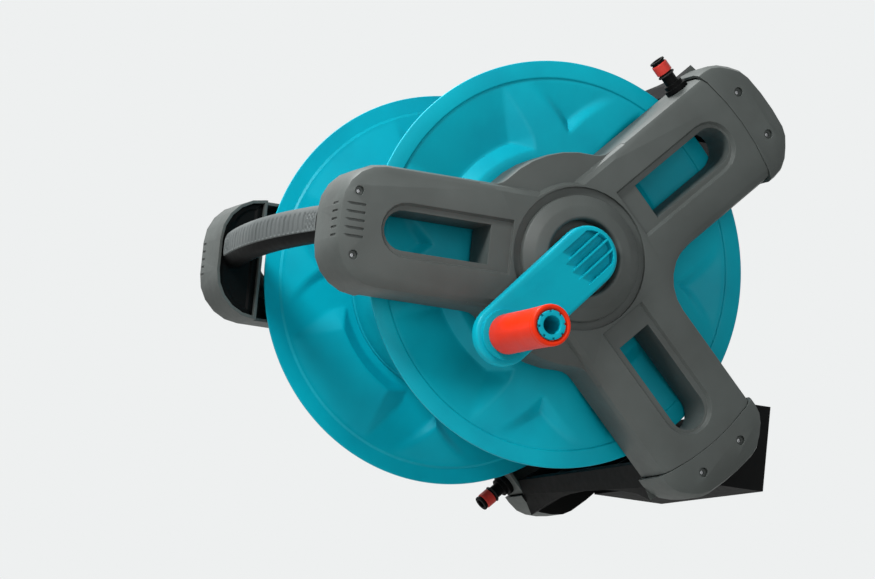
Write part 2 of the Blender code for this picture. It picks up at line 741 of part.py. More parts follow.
def build_handle():
    """Carry handle core: a bowed bar with end plates screwed inside the front tips."""
    def bar(x, grow, cut=0.0):
        front = HANDLE_FRONT - HANDLE_BOW * (x / BOW_X) ** 2
        depth = HANDLE_DEPTH / 2 - grow
        high = HANDLE_HALF - grow
        points = []
        for i in range(HANDLE_SIDES):
            a = math.tau * i / HANDLE_SIDES
            c = math.cos(a)
            s = math.sin(a)
            y = math.copysign(abs(c) ** 0.75, c) * depth
            z = math.copysign(abs(s) ** 0.75, s) * high
            points.append((x, -front + HANDLE_DEPTH / 2 + y + cut, HANDLE_Z + z))
        return points

    half = [SKIN_X * share for share in (0, 0.35, 0.71, 1)] + [SKIN_X + 0.003, HANDLE_END_X]
    spans = [-x for x in reversed(half)] + half[1:]
    inset = SKIN + FIT
    sections = [bar(x, FIT if abs(x) > SKIN_X + 0.001 else inset) for x in spans]
    body = loft("handle_core", sections, PARTS)
    for side in (-1, 1):
        low = side * (HANDLE_END_X - 0.001)
        high = side * (HANDLE_END_X + 0.005)
        high_z = FRONT_SCREW_V + HANDLE_PAD
        pad = block(f"handle_pad_{side}", (min(low, high), -FRONT_SCREW_U - HANDLE_PAD, -high_z),
                    (max(low, high), -FRONT_SCREW_U + 2 * HANDLE_PAD, high_z))
        boolean(body, pad, "UNION")
        for k, (y, z) in enumerate(FRONT_SPOTS):
            post = rod(f"handle_post_{side}_{k}", (low, y, z), (side * BOSS_TOP_X, y, z), HANDLE_POST_R, 12)
            boolean(body, post, "UNION")
            bore = rod(f"handle_bore_{side}_{k}", (side * (FACE_X - SCREW_BORE), y, z),
                       (side * FACE_X, y, z), SCREW_R + FIT, 10)
            boolean(body, bore)
    return body


def build_skin():
    """Soft ribbed sleeve moulded round the handle core."""
    def ring(x, grow):
        front = HANDLE_FRONT - HANDLE_BOW * (x / BOW_X) ** 2
        points = []
        for i in range(HANDLE_SIDES):
            a = math.tau * i / HANDLE_SIDES
            c = math.cos(a)
            s = math.sin(a)
            lift = grow if s > -0.6 else min(grow, 0.0)
            y = math.copysign(abs(c) ** 0.75, c) * (HANDLE_DEPTH / 2 + lift)
            z = math.copysign(abs(s) ** 0.75, s) * (HANDLE_HALF + lift)
            points.append((x, -front + HANDLE_DEPTH / 2 + y, HANDLE_Z + z))
        return points

    pitch = 2 * SKIN_X / RIBS
    sections = []
    for i in range(RIBS):
        start = -SKIN_X + i * pitch
        sections.append(ring(start, -RIB_HEIGHT))
        sections.append(ring(start + pitch * 0.2, 0))
        sections.append(ring(start + pitch * 0.8, 0))
    sections.append(ring(SKIN_X, -RIB_HEIGHT))
    sections += [ring(SKIN_X * share, -SKIN) for share in (1, 0.71, 0.35, 0, -0.35, -0.71, -1)]
    bm = bmesh.new()
    rings = [[bm.verts.new(point) for point in section] for section in sections]
    rings.append(rings[0])
    for low, high in zip(rings, rings[1:]):
        for i in range(HANDLE_SIDES):
            j = (i + 1) % HANDLE_SIDES
            bm.faces.new((low[i], low[j], high[j], high[i]))
    return add("handle_skin", mesh_from("handle_skin", bm))


def build_crank():
    """Crank arm: a bevelled bar with a hub boss, five lightening slots and the peg's collar."""
    angle = math.radians(CRANK_DEG)

    def outline(inset):
        points = arc(0, 0, CRANK_HALF - inset, 90, 270, 10)
        points += arc(CRANK_LENGTH, 0, CRANK_HALF - inset, -90, 90, 10)
        return swing(points, angle)

    bevel_x = CRANK_FACE_X - CRANK_BEVEL
    body = loft("crank_arm", [at(CRANK_BACK_X, outline(0)), at(bevel_x, outline(0)),
                              at(CRANK_FACE_X, outline(CRANK_BEVEL))], PARTS)
    boss_x = CRANK_BACK_X - CRANK_BOSS
    boss = rod("crank_boss", (boss_x, 0, 0), (CRANK_BACK_X + 0.001, 0, 0), CRANK_BOSS_R, 32)
    boolean(body, boss, "UNION")
    collar = rod("crank_collar", (CRANK_FACE_X - 0.001, knob_y, knob_z), (COLLAR_X, knob_y, knob_z),
                 COLLAR_R, 32)
    boolean(body, collar, "UNION")
    socket = rod("crank_socket", (boss_x - 0.005, 0, 0), (CRANK_BACK_X - CRANK_SKIN, 0, 0),
                 AXLE_R + AXLE_FIT, 32)
    boolean(body, socket)
    peg_hole = rod("crank_peg_hole", (CRANK_BACK_X + CRANK_SKIN, knob_y, knob_z),
                   (COLLAR_X + 0.001, knob_y, knob_z), PEG_R + FIT, 24)
    boolean(body, peg_hole)
    for i in range(5):
        v = (i - 2) * CRANK_HALF / 3
        reach = math.sqrt(max(0.0, (CRANK_HALF - 0.0038) ** 2 - v ** 2))
        far = CRANK_HALF - abs(i - 2) * 0.004
        low_u = -reach + 0.0005
        width = CRANK_HALF * 0.12
        points = [(low_u, -width), (far, -width), (far, width), (low_u, width)]
        points = swing([(u, v + w) for u, w in points], angle)
        slot = plate(f"crank_slot_{i}", [points], CRANK_FACE_X - 2 * CRANK_BEVEL, CRANK_FACE_X + 0.001)
        boolean(body, slot)
    return body


def nipple(name, steps=18):
    """Parked click nipple, turned about its own axis; x = 0 is the arm's side face."""
    lip = NIPPLE_R + 0.0012
    collar = NIPPLE_R + 0.003
    base = NIPPLE_R + 0.0052
    plug = NIPPLE_SEAT_R - FIT
    profile = [(NIPPLE_BORE_R, 0.036), (lip - 0.0002, 0.036), (lip, 0.0345), (NIPPLE_R, 0.0343),
               (NIPPLE_R, 0.0095), (collar, 0.0093), (collar, 0.0055), (base, 0.0050),
               (base, FIT), (plug, FIT), (plug, -0.006), (NIPPLE_BORE_R, -0.006)]
    return turned(name, profile, steps)


def nipple_place(flip=False):
    """From nipple axis X to the upper arm's front side face of the right frame."""
    c = math.cos(UPPER_ANGLE)
    out = Vector((0, -c, c))
    across = Vector((1, 0, 0))
    third = out.cross(across)
    u = Vector((0, c, c))
    origin = Vector((NIPPLE_X, 0, 0)) + u * NIPPLE_U + out * ARM_HALF
    place = Matrix((out, across, third)).transposed().to_4x4()
    place.translation = origin
    if flip:
        place = Matrix.Rotation(math.pi, 4, "Y") @ place
    return place


def seal_ring(name, radius, tube, x, steps=16):
    profile = [(radius + tube * math.cos(a), x + tube * math.sin(a))
               for a in (math.tau * i / 5 for i in range(5))]
    return turned(name, profile, steps)


def twin(source, name, turn_axis, look, smooth=30):
    """Second moulding of the same form, turned half round about the given axis."""
    copy = add(name, source.data.copy())
    copy.matrix_local = Matrix.Rotation(math.pi, 4, turn_axis) @ source.matrix_local
    return finish(copy, look, smooth)


# Frame
right_frame = finish(baked(build_frame()), "dark_grey", 30)
left_frame = twin(right_frame, "left_frame", "Y", "dark_grey")
upper_beam = finish(baked(build_beam()), "dark_grey", 30)
twin(upper_beam, "lower_crossbeam", "Y", "dark_grey")
handle_core = finish(baked(build_handle()), "black", 30)
handle_skin = finish(build_skin(), "soft_grey", 50)

# Hub covers and bushes
floor = FACE_X - POCKET_DEPTH + FIT
cover_profile = [(COVER_R, floor), (COVER_R, FACE_X + 0.0008), (COVER_R - 0.0045, FACE_X + 0.0054),
                 (COVER_R - 0.0135, COVER_TOP_X - 0.0020), (COVER_HOLE_R + 0.0025, COVER_TOP_X),
                 (COVER_HOLE_R, COVER_TOP_X - 0.001), (COVER_HOLE_R, floor),
                 (COVER_HOLE_R + 0.0025, floor), (COVER_HOLE_R + 0.0030, COVER_TOP_X - 0.0035),
                 (COVER_R - 0.0065, FACE_X + 0.0022), (COVER_R - 0.0025, floor)]
right_cover = finish(baked(turned("right_hub_cover", cover_profile, 32)), "dark_grey", 40)
twin(right_cover, "left_hub_cover", "Z", "dark_grey", 40)
bush_out = FACE_X - BUSH_STOP
bush_low = BUSH_IN_X - FIT - BUSH_LIP_T
bush_profile = [(BUSH_HOLE_R - FIT, BUSH_IN_X - FIT), (BUSH_HOLE_R - FIT, bush_out),
                (AXLE_R + AXLE_FIT, bush_out), (AXLE_R + AXLE_FIT, bush_low),
                (BUSH_SEAT_R, bush_low), (BUSH_SEAT_R, BUSH_IN_X - FIT)]
right_bush = finish(baked(turned("right_hub_bush", bush_profile, 24)), "bush", 40)
twin(right_bush, "left_hub_bush", "Z", "bush", 40)


def build_screws():
    """Twelve pan head screws, one mesh placed twelve times."""
    top = -(SCREW_SINK - SCREW_HEAD - FIT)
    profile = [(0, top), (SCREW_HEAD_R - 0.0005, top), (SCREW_HEAD_R, top - SCREW_HEAD),
               (SCREW_R, top - SCREW_HEAD), (SCREW_R, top - SCREW_LENGTH), (0, top - SCREW_LENGTH)]
    places = {"front": FRONT_SPOTS, "upper": end_spots(UPPER_ANGLE), "lower": end_spots(LOWER_ANGLE)}
    first = None
    for side, side_name in ((1, "right"), (-1, "left")):
        for end_name, spots in places.items():
            for i, (y, z) in enumerate(spots):
                name = f"screw_{side_name}_{end_name}_{i + 1}"
                if first is None:
                    first = baked(turned(name, profile, 8))
                    finish(first, "steel", 40)
                    screw = first
                else:
                    screw = add(name, first.data)
                turn = Matrix.Rotation(0 if side > 0 else math.pi, 4, "Z")
                screw.matrix_local = Matrix.Translation((side * FACE_X, y, z)) @ turn


build_screws()

# Parked nipples, each with a red ring and a seal
for label, flip in (("upper", False), ("lower", True)):
    stem = baked(nipple(f"{label}_nipple"))
    stem.matrix_local = nipple_place(flip)
    finish(stem, "black", 40)
    ring_profile = [(NIPPLE_R + FIT, 0.0220), (RING_R, 0.0222), (RING_R, 0.0315), (0.0078, 0.0325),
                    (NIPPLE_R + FIT, 0.0325)]
    ring = baked(turned(f"{label}_nipple_ring", ring_profile, 24))
    ring.matrix_local = nipple_place(flip)
    finish(ring, "red", 40)
    seal = baked(seal_ring(f"{label}_nipple_seal", NIPPLE_R + 0.0013, 0.0010, 0.0195))
    seal.matrix_local = nipple_place(flip)
    finish(seal, "rubber", 60)


# Drum
right_flange = finish(build_flange(), "teal", 25)
twin(right_flange, "left_flange", "Z", "teal", 25)
core_end = WELL_X - SHEET - FIT
core_profile = [(CORE_R, -core_end), (CORE_R, core_end), (CORE_R - CORE_WALL, core_end),
                (CORE_R - CORE_WALL, -core_end)]
drum_core = turned("drum_core", core_profile, 48)
ay = math.cos(math.radians(OUTLET_DEG))
az = math.sin(math.radians(OUTLET_DEG))
hole_in = CORE_R - 0.015
hole_out = CORE_R + 0.015
outlet_hole = rod("outlet_hole", (OUTLET_X, hole_in * ay, hole_in * az),
                  (OUTLET_X, hole_out * ay, hole_out * az), OUTLET_R + FIT, 16)
boolean(drum_core, outlet_hole)
finish(baked(drum_core), "teal", 40)


def build_axle():
    """Hollow axle with the water branch that feeds the hose outlet on the core."""
    shaft = rod("axle_tube", (AXLE_FAR_X, 0, 0), (AXLE_END_X, 0, 0), AXLE_R, 32, PARTS)
    top = CORE_R - 0.007
    low = AXLE_R - 0.006
    branch = rod("axle_branch", (OUTLET_X, low * ay, low * az), (OUTLET_X, top * ay, top * az),
                 OUTLET_R + 0.001, 16)
    boolean(shaft, branch, "UNION")
    outside = AXLE_FAR_X - 0.0025
    water = rod("axle_water", (outside, 0, 0), (OUTLET_X + 0.010, 0, 0), WATER_R, 16)
    mouth = rod("axle_mouth", (outside, 0, 0), (AXLE_FAR_X + 0.0375, 0, 0), AXLE_R - AXLE_WALL, 24)
    feed = rod("axle_feed", (OUTLET_X, 0, 0), (OUTLET_X, CORE_R * ay, CORE_R * az), 0.005, 12)
    for tool in (water, mouth, feed):
        boolean(shaft, tool)
    return shaft


finish(baked(build_axle()), "black", 40)


def build_outlet():
    """Hose nipple on the core: a stub through the barrel and a tail along the winding."""
    inner = CORE_R - 0.0065
    outer = CORE_R + 0.015
    middle = CORE_R + 0.0105
    low = Vector((OUTLET_X, inner * ay, inner * az))
    high = Vector((OUTLET_X, outer * ay, outer * az))
    along = Vector((0, az, -ay))
    stub = rod("hose_nipple", low, high, OUTLET_R, 20, PARTS)
    bend = Vector((OUTLET_X, middle * ay, middle * az))
    boolean(stub, rod("outlet_tail", bend, bend + along * 0.036, 0.0062, 16), "UNION")
    boolean(stub, rod("outlet_barb_1", bend + along * 0.018, bend + along * 0.021, 0.0072, 16), "UNION")
    boolean(stub, rod("outlet_barb_2", bend + along * 0.027, bend + along * 0.030, 0.0072, 16), "UNION")
    boolean(stub, rod("outlet_bore", bend, bend + along * 0.040, 0.0042, 12))
    boolean(stub, rod("outlet_feed", low - Vector((0, ay, az)) * 0.002, bend, 0.0042, 12))
    return stub


finish(baked(build_outlet()), "black", 40)
crank_arm = finish(baked(build_crank()), "teal", 30)

peg_foot = CRANK_BACK_X + CRANK_SKIN + FIT
peg_profile = [(PEG_R, peg_foot), (PEG_R, PEG_END_X - 0.0035),
               (PEG_LIP_R, PEG_END_X - 0.0033), (PEG_LIP_R, PEG_END_X - 0.0006),
               (PEG_LIP_R - 0.0006, PEG_END_X), (PEG_BORE_R, PEG_END_X),
               (PEG_BORE_R, peg_foot)]
peg = turned("crank_peg", peg_profile, 24, PARTS, knob)
for k in range(6):
    a = math.radians(60 * k + 15)
    ny = (PEG_LIP_R - 0.0018) * math.cos(a)
    nz = (PEG_LIP_R - 0.0018) * math.sin(a)
    notch = rod(f"peg_notch_{k}", (PEG_END_X - 0.0022, ny, nz), (PEG_END_X + 0.001, ny, nz), 0.0009, 8)
    notch.parent = knob
    boolean(peg, notch)
finish(baked(peg), "teal", 40)
grip_profile = [(GRIP_R - 0.0015, COLLAR_X + FIT), (GRIP_R, COLLAR_X + 0.002), (GRIP_END_R, PEG_END_X - 0.003),
                (GRIP_END_R - 0.002, PEG_END_X - 0.0006), (PEG_LIP_R + FIT, PEG_END_X - 0.0006),
                (PEG_LIP_R + FIT, PEG_END_X - 0.0039), (PEG_R + 0.0004, PEG_END_X - 0.0039),
                (PEG_R + 0.0004, COLLAR_X + FIT)]
finish(baked(turned("grip_sleeve", grip_profile, 32, PARTS, knob)), "orange", 40)


# Water inlet on the far hub
def build_inlet():
    """Elbow plugged into the far end of the axle, with a click nipple pointing down."""
    x0 = -(floor)
    plug_end = (INLET_PLUG_X, 0, 0)
    body = rod("inlet_elbow", (x0 - 0.004, 0, 0), (x0, 0, 0), COVER_HOLE_R - 0.003, 24, PARTS)
    boolean(body, rod("inlet_spigot", (x0 - 0.001, 0, 0), plug_end, INLET_PLUG_R, 16), "UNION")
    boolean(body, rod("inlet_body", (INLET_X - 0.010, 0, 0), (x0 - 0.001, 0, 0), INLET_R, 18), "UNION")
    boolean(body, rod("inlet_drop", (INLET_X, 0, 0), (INLET_X, 0, -0.024), 0.0085, 16), "UNION")
    boolean(body, rod("inlet_nose", (INLET_X, 0, -0.020), (INLET_X, 0, -0.050), NIPPLE_R, 16), "UNION")
    boolean(body, rod("inlet_lip", (INLET_X, 0, -0.0485), (INLET_X, 0, -0.050), NIPPLE_R + 0.0012, 16),
            "UNION")
    boolean(body, rod("inlet_bore", (INLET_X, 0, 0), (INLET_X, 0, -0.052), NIPPLE_BORE_R, 10))
    way_end = (INLET_PLUG_X + 0.008, 0, 0)
    boolean(body, rod("inlet_way", (INLET_X, 0, 0), way_end, NIPPLE_BORE_R, 10))
    return body


def down_place():
    place = Matrix(((0, 1, 0, INLET_X), (0, 0, -1, 0), (-1, 0, 0, -0.0160), (0, 0, 0, 1)))
    return place


finish(baked(build_inlet()), "black", 40)
inlet_ring = baked(turned("inlet_ring", [(NIPPLE_R + FIT, 0.0200), (RING_R, 0.0202), (RING_R, 0.0295),
                                         (0.0078, 0.0305), (NIPPLE_R + FIT, 0.0305)], 24))
inlet_ring.matrix_local = down_place()
finish(inlet_ring, "red", 40)
inlet_seal = baked(seal_ring("inlet_seal", NIPPLE_R + 0.0013, 0.0010, 0.0165))
inlet_seal.matrix_local = down_place()
finish(inlet_seal, "rubber", 60)
seal_r = (AXLE_R - AXLE_WALL + INLET_PLUG_R) / 2
axle_seal = baked(seal_ring("axle_seal", seal_r, 0.0008, AXLE_FAR_X + 0.0155))
finish(axle_seal, "rubber", 60)


# Wall bracket, in its own place at the wall
def build_bracket():
    """Tray with a back plate, a hook lip and two cheeks whose front edge cradles the lower crossbeam."""
    seat_r = BEAM_OUT_R - BEAM_RISE * (1 - (BRACKET_HALF / SHELL_X) ** 2) + FIT
    front = HUB_TO_WALL - BRACKET_REACH
    back = HUB_TO_WALL - BRACKET_T
    seat_low = -math.degrees(math.acos(front / seat_r))
    seat_high = seat_low + 4
    corner = arc(HUB_TO_WALL - 0.019, BRACKET_TOP_Z - BRACKET_CORNER, BRACKET_CORNER, 90, 128, 4)
    outline = [(HUB_TO_WALL, BRACKET_LOW_Z), (HUB_TO_WALL, BRACKET_TOP_Z)]
    outline += corner
    outline += arc(0, 0, seat_r, seat_high, seat_low, 6)
    outline += [(front, BRACKET_LOW_Z)]
    body = plate("wall_bracket", [outline], -BRACKET_HALF, BRACKET_HALF, PARTS)
    base = BRACKET_LOW_Z + BRACKET_FLOOR
    above = BRACKET_TOP_Z + 0.010
    inside = [(front - 0.010, base), (LIP_Y - BRACKET_T, base), (LIP_Y - BRACKET_T, LIP_Z),
              (LIP_Y, LIP_Z), (LIP_Y, base), (back, base), (back, above), (front - 0.010, above)]
    cheek_x = BRACKET_HALF - BRACKET_T
    boolean(body, plate("bracket_inside", [inside], -cheek_x, cheek_x))
    for sx in (-1, 1):
        for sz in (-1, 1):
            x = sx * WALL_HOLE_X
            z = -HUB_HEIGHT + sz * WALL_HOLE_Z
            boolean(body, rod(f"wall_hole_{sx}_{sz}", (x, back - 0.002, z),
                              (x, HUB_TO_WALL + 0.002, z), WALL_HOLE_R, 16))
    return body


finish(baked(build_bracket()), "black", 30)

bpy.context.view_layer.update()
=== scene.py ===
import math

import bmesh
import bpy
from mathutils import Matrix, Vector


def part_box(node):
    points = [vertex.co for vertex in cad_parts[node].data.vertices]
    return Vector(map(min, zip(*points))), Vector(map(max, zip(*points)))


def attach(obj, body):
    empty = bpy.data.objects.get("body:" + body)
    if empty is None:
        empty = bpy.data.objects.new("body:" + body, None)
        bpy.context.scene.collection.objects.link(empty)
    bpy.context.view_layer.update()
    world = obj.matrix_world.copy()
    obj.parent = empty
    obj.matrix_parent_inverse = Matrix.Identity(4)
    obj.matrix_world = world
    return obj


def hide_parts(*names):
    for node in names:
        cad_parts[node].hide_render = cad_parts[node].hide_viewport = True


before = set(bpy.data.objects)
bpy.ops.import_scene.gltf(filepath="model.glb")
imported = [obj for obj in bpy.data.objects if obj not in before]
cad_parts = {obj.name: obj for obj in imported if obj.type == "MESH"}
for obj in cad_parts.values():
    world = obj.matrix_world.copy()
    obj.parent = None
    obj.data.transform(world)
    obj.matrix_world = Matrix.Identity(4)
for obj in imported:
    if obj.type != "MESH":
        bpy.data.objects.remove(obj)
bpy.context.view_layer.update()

# Lengths are in metres, and in millimetres where they are multiplied by MM
MM = 0.001

# Hub axis in the frame; y and z of the sizes below are measured from it
HUB_Y = -0.255
HUB_Z = 0.1475
SIDES = {"right": 1, "left": -1}


# Finishes

def srgb(code):
    """Linear colour from a six digit sRGB hex value."""
    channels = []
    for start in (0, 2, 4):
        c = int(code[start:start + 2], 16) / 255
        channels.append(c / 12.92 if c <= 0.04045 else ((c + 0.055) / 1.055) ** 2.4)
    return (*channels, 1.0)


def shader_node(tree, kind, settings=None, sockets=None, links=None):
    """Add a node, set its properties and sockets, and link {socket: (node, output)}."""
    item = tree.nodes.new(kind)
    for key, value in (settings or {}).items():
        setattr(item, key, value)
    for key, value in (sockets or {}).items():
        item.inputs[key].default_value = value
    for key, (source, output) in (links or {}).items():
        tree.links.new(source.outputs[output], item.inputs[key])
    return item


def new_material(name):
    mat = bpy.data.materials.new(name)
    mat.use_nodes = True
    tree = mat.node_tree
    tree.nodes.clear()
    output = tree.nodes.new("ShaderNodeOutputMaterial")
    shader = tree.nodes.new("ShaderNodeBsdfPrincipled")
    tree.links.new(shader.outputs["BSDF"], output.inputs["Surface"])
    return mat, tree, shader


# Width of the faint colour clouds in a moulding and of the scuffs on it. A tool's real grain is about
# 0.1 mm; it is drawn 0.5 to 1.2 mm wide, because finer grain doesn't show in the render.
CLOUD_MM = 60
SCUFF_MM = 9
PLASTIC_IOR = 1.49


def moulded(name, shade, light, dark, rough, grain_mm, grain_height_mm, edge_mm=0.9, wear=0.35, gloss=0.3):
    """Injection moulded plastic: close tones, a fine mould grain, softened and rubbed edges."""
    mat, tree, shader = new_material(name)
    place = shader_node(tree, "ShaderNodeTexCoord")
    cloud = shader_node(tree, "ShaderNodeTexNoise", sockets={"Scale": 1 / (CLOUD_MM * MM), "Detail": 3.0},
                        links={"Vector": (place, "Object")})
    tone = shader_node(tree, "ShaderNodeValToRGB", links={"Fac": (cloud, "Fac")})
    tone.color_ramp.elements[0].position = 0.3
    tone.color_ramp.elements[0].color = srgb(dark)
    tone.color_ramp.elements[1].position = 0.72
    tone.color_ramp.elements[1].color = srgb(light)
    middle = tone.color_ramp.elements.new(0.5)
    middle.color = srgb(shade)
    # The rubbed edge: where the rounded normal leaves the flat one, broken up by a scuff noise
    scuff = shader_node(tree, "ShaderNodeTexNoise",
                        sockets={"Scale": 1 / (SCUFF_MM * MM), "Detail": 6.0, "Roughness": 0.7},
                        links={"Vector": (place, "Object")})
    rounded = shader_node(tree, "ShaderNodeBevel", {"samples": 6}, {"Radius": edge_mm * MM})
    flat = shader_node(tree, "ShaderNodeNewGeometry")
    along = shader_node(tree, "ShaderNodeVectorMath", {"operation": "DOT_PRODUCT"},
                        links={0: (rounded, "Normal"), 1: (flat, "Normal")})
    edge = shader_node(tree, "ShaderNodeMapRange",
                       sockets={"From Min": 0.995, "From Max": 0.82, "To Min": 0.0, "To Max": wear},
                       links={"Value": (along, "Value")})
    rubbed = shader_node(tree, "ShaderNodeMath", {"operation": "MULTIPLY"},
                         links={0: (edge, "Result"), 1: (scuff, "Fac")})
    # Sockets 6 and 7 are the mix's two colours
    worn = shader_node(tree, "ShaderNodeMix", {"data_type": "RGBA", "blend_type": "SCREEN"},
                       links={0: (rubbed, "Value"), 6: (tone, "Color"), 7: (tone, "Color")})
    tree.links.new(worn.outputs[2], shader.inputs["Base Color"])
    spread = shader_node(tree, "ShaderNodeMapRange",
                         sockets={"From Min": 0.3, "From Max": 0.7, "To Min": rough - 0.05,
                                  "To Max": rough + 0.07},
                         links={"Value": (scuff, "Fac")})
    tree.links.new(spread.outputs["Result"], shader.inputs["Roughness"])
    grain = shader_node(tree, "ShaderNodeTexNoise", sockets={"Scale": 1 / (grain_mm * MM), "Detail": 2.0},
                        links={"Vector": (place, "Object")})
    bump = shader_node(tree, "ShaderNodeBump", sockets={"Strength": 0.6, "Distance": grain_height_mm * MM},
                       links={"Height": (grain, "Fac"), "Normal": (rounded, "Normal")})
    tree.links.new(bump.outputs["Normal"], shader.inputs["Normal"])
    shader.inputs["IOR"].default_value = PLASTIC_IOR
    shader.inputs["Specular IOR Level"].default_value = gloss
    return mat


# Turquoise polypropylene, injection moulded in a polished tool: satin, with soft wide highlights
turquoise = moulded("turquoise_polypropylene", "00A6BA", "00ACC0", "009DB2", 0.4, 0.9, 0.012, gloss=0.16)
# The same compound on the drum core, rougher where hose rubs it, and a little darker as painted shade
shaded_turquoise_core = moulded("turquoise_polypropylene_core_painted_shade", "009AAC", "00A2B4", "0090A2", 0.5, 0.9, 0.03,
                         gloss=0.16)
# Glass filled polyamide, spark grained tool: an even dull grey with a fine sandy break-up
grained_grey = moulded("grained_grey_polyamide", "4C514F", "515654", "474B49", 0.5, 1.2, 0.045)
# Thermoplastic elastomer, matt tool: dark, soft looking, no clear highlight
soft_elastomer = moulded("soft_elastomer", "565B5B", "5C6161", "4F5454", 0.7, 0.8, 0.04)
# Black ABS, moulded: deep even black with a dull sheen
black_abs = moulded("black_abs", "0B0C0C", "0E0F0F", "080909", 0.5, 0.7, 0.02, wear=0.1, gloss=0.06)
# Black polypropylene of the bracket and beams: duller, a little greyer, and darkened as painted shade
shade_darkened_black_polypropylene = moulded("shade_darkened_black_polypropylene", "0D0E0E", "111212", "0A0B0B", 0.55, 0.9, 0.03,
                              wear=0.1, gloss=0.08)
# Orange red ABS of the crank grip: smooth, clean colour
orange_abs = moulded("orange_abs", "E63009", "EC370F", "DE2B06", 0.34, 0.8, 0.01, wear=0.15, gloss=0.16)
# Red acetal of the nipple rings: waxy gloss
red_acetal = moulded("red_acetal", "C2332A", "CA3D32", "B62B23", 0.34, 0.6, 0.01, edge_mm=0.3)
# Pale acetal of the bearing bushes: waxy off-white
pale_acetal = moulded("pale_acetal", "D6D5CB", "DCDBD2", "CCCBC0", 0.45, 0.6, 0.01)
# Nitrile rubber seals: matt black
nitrile = moulded("nitrile_rubber", "161616", "1B1B1B", "121212", 0.7, 0.5, 0.01, edge_mm=0.2)

TARNISH_MM = 2.5


def zinc_steel():
    """Bright zinc plated steel, cold headed: clear metal with slight tarnish clouds."""
    mat, tree, shader = new_material("zinc_plated_steel")
    place = shader_node(tree, "ShaderNodeTexCoord")
    cloud = shader_node(tree, "ShaderNodeTexNoise", sockets={"Scale": 1 / (TARNISH_MM * MM), "Detail": 4.0},
                        links={"Vector": (place, "Object")})
    tone = shader_node(tree, "ShaderNodeValToRGB", links={"Fac": (cloud, "Fac")})
    tone.color_ramp.elements[0].color = srgb("8E9092")
    tone.color_ramp.elements[1].color = srgb("C3C4C6")
    tree.links.new(tone.outputs["Color"], shader.inputs["Base Color"])
    spread = shader_node(tree, "ShaderNodeMapRange", sockets={"To Min": 0.2, "To Max": 0.36},
                         links={"Value": (cloud, "Fac")})
    tree.links.new(spread.outputs["Result"], shader.inputs["Roughness"])
    shader.inputs["Metallic"].default_value = 1.0
    return mat


bright_zinc = zinc_steel()


# Ways of making a piece

# Points closer than this are welded after a cut, and those of a turned piece on its axis
WELD = 2e-6
AXIS_WELD = 1e-7
# Cutters stand out of what they cut, and joined bodies overlap, by this much
OVER = 0.001
# A point this close to a plane lies on it
NEAR = 0.0002


def placed(name, data):
    """A new object of the scene with the given data."""
    item = bpy.data.objects.new(name, data)
    bpy.context.scene.collection.objects.link(item)
    return item


def outward_mesh(name, bm):
    """Mesh of a bmesh with its faces turned outward."""
    bmesh.ops.recalc_face_normals(bm, faces=bm.faces)
    mesh = bpy.data.meshes.new(name)
    bm.to_mesh(mesh)
    bm.free()
    return mesh


def fit_piece(name, bm, finishes, body, nodes=(), angle=35):
    """Piece that rides on a body and stands for its nodes; creases sharper than the angle stay."""
    mesh = outward_mesh(name, bm)
    # Normals copied from the part's mesh don't fit the changed shape
    old = mesh.attributes.get("custom_normal")
    if old:
        mesh.attributes.remove(old)
    mesh.shade_smooth()
    mesh.set_sharp_from_angle(angle=math.radians(angle))
    for finish in finishes:
        mesh.materials.append(finish)
    item = placed(name, mesh)
    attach(item, body)
    if nodes:
        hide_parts(*nodes)
    return item


def turned(profile, steps, y=0.0, z=0.0):
    """Closed profile of (radius, x) swept about an axis parallel to X through y, z of the hub."""
    bm = bmesh.new()
    rings = []
    for i in range(steps):
        a = math.tau * i / steps
        c = math.cos(a)
        s = math.sin(a)
        rings.append([bm.verts.new((x, HUB_Y + y + r * c, HUB_Z + z + r * s)) for r, x in profile])
    for i, ring in enumerate(rings):
        after = rings[(i + 1) % steps]
        for j in range(len(ring)):
            k = (j + 1) % len(ring)
            bm.faces.new((ring[j], ring[k], after[k], after[j]))
    bmesh.ops.remove_doubles(bm, verts=bm.verts, dist=AXIS_WELD)
    return bm


def fillet(start, corner, end, steps=5):
    """Rounded corner of a profile: a quadratic curve between two points, drawn to the corner."""
    points = []
    for i in range(steps + 1):
        t = i / steps
        a = (1 - t) ** 2
        b = 2 * t * (1 - t)
        c = t ** 2
        points.append(tuple(a * p + b * q + c * r for p, q, r in zip(start, corner, end)))
    return points


def skinned(sections):
    """Skin over equal closed sections of points, with capped ends."""
    bm = bmesh.new()
    rings = [[bm.verts.new(point) for point in section] for section in sections]
    for low, high in zip(rings, rings[1:]):
        for i in range(len(low)):
            j = (i + 1) % len(low)
            bm.faces.new((low[i], low[j], high[j], high[i]))
    bm.faces.new(rings[0])
    bm.faces.new(rings[-1])
    return bm


def solid(name, bm):
    return placed(name, outward_mesh(name, bm))


def prism(name, sections):
    return solid(name, skinned(sections))


def disc(name, x0, x1, radius, steps, y=0.0, z=0.0):
    """Round bar from x0 to x1 about y, z of the hub."""
    sections = []
    for x in (x0, x1):
        sections.append([(x, HUB_Y + y + radius * math.cos(math.tau * i / steps),
                          HUB_Z + z + radius * math.sin(math.tau * i / steps)) for i in range(steps)])
    return prism(name, sections)


def radial_bar(name, turn, near, far, half, x0, x1, y, z):
    """Square bar that runs out from y, z of the hub at an angle, between two radii."""
    c = math.cos(math.radians(turn))
    s = math.sin(math.radians(turn))
    corners = []
    for r, w in ((near, -half), (far, -half), (far, half), (near, half)):
        corners.append((HUB_Y + y + r * c - w * s, HUB_Z + z + r * s + w * c))
    return prism(name, [[(x, *corner) for corner in corners] for x in (x0, x1)])


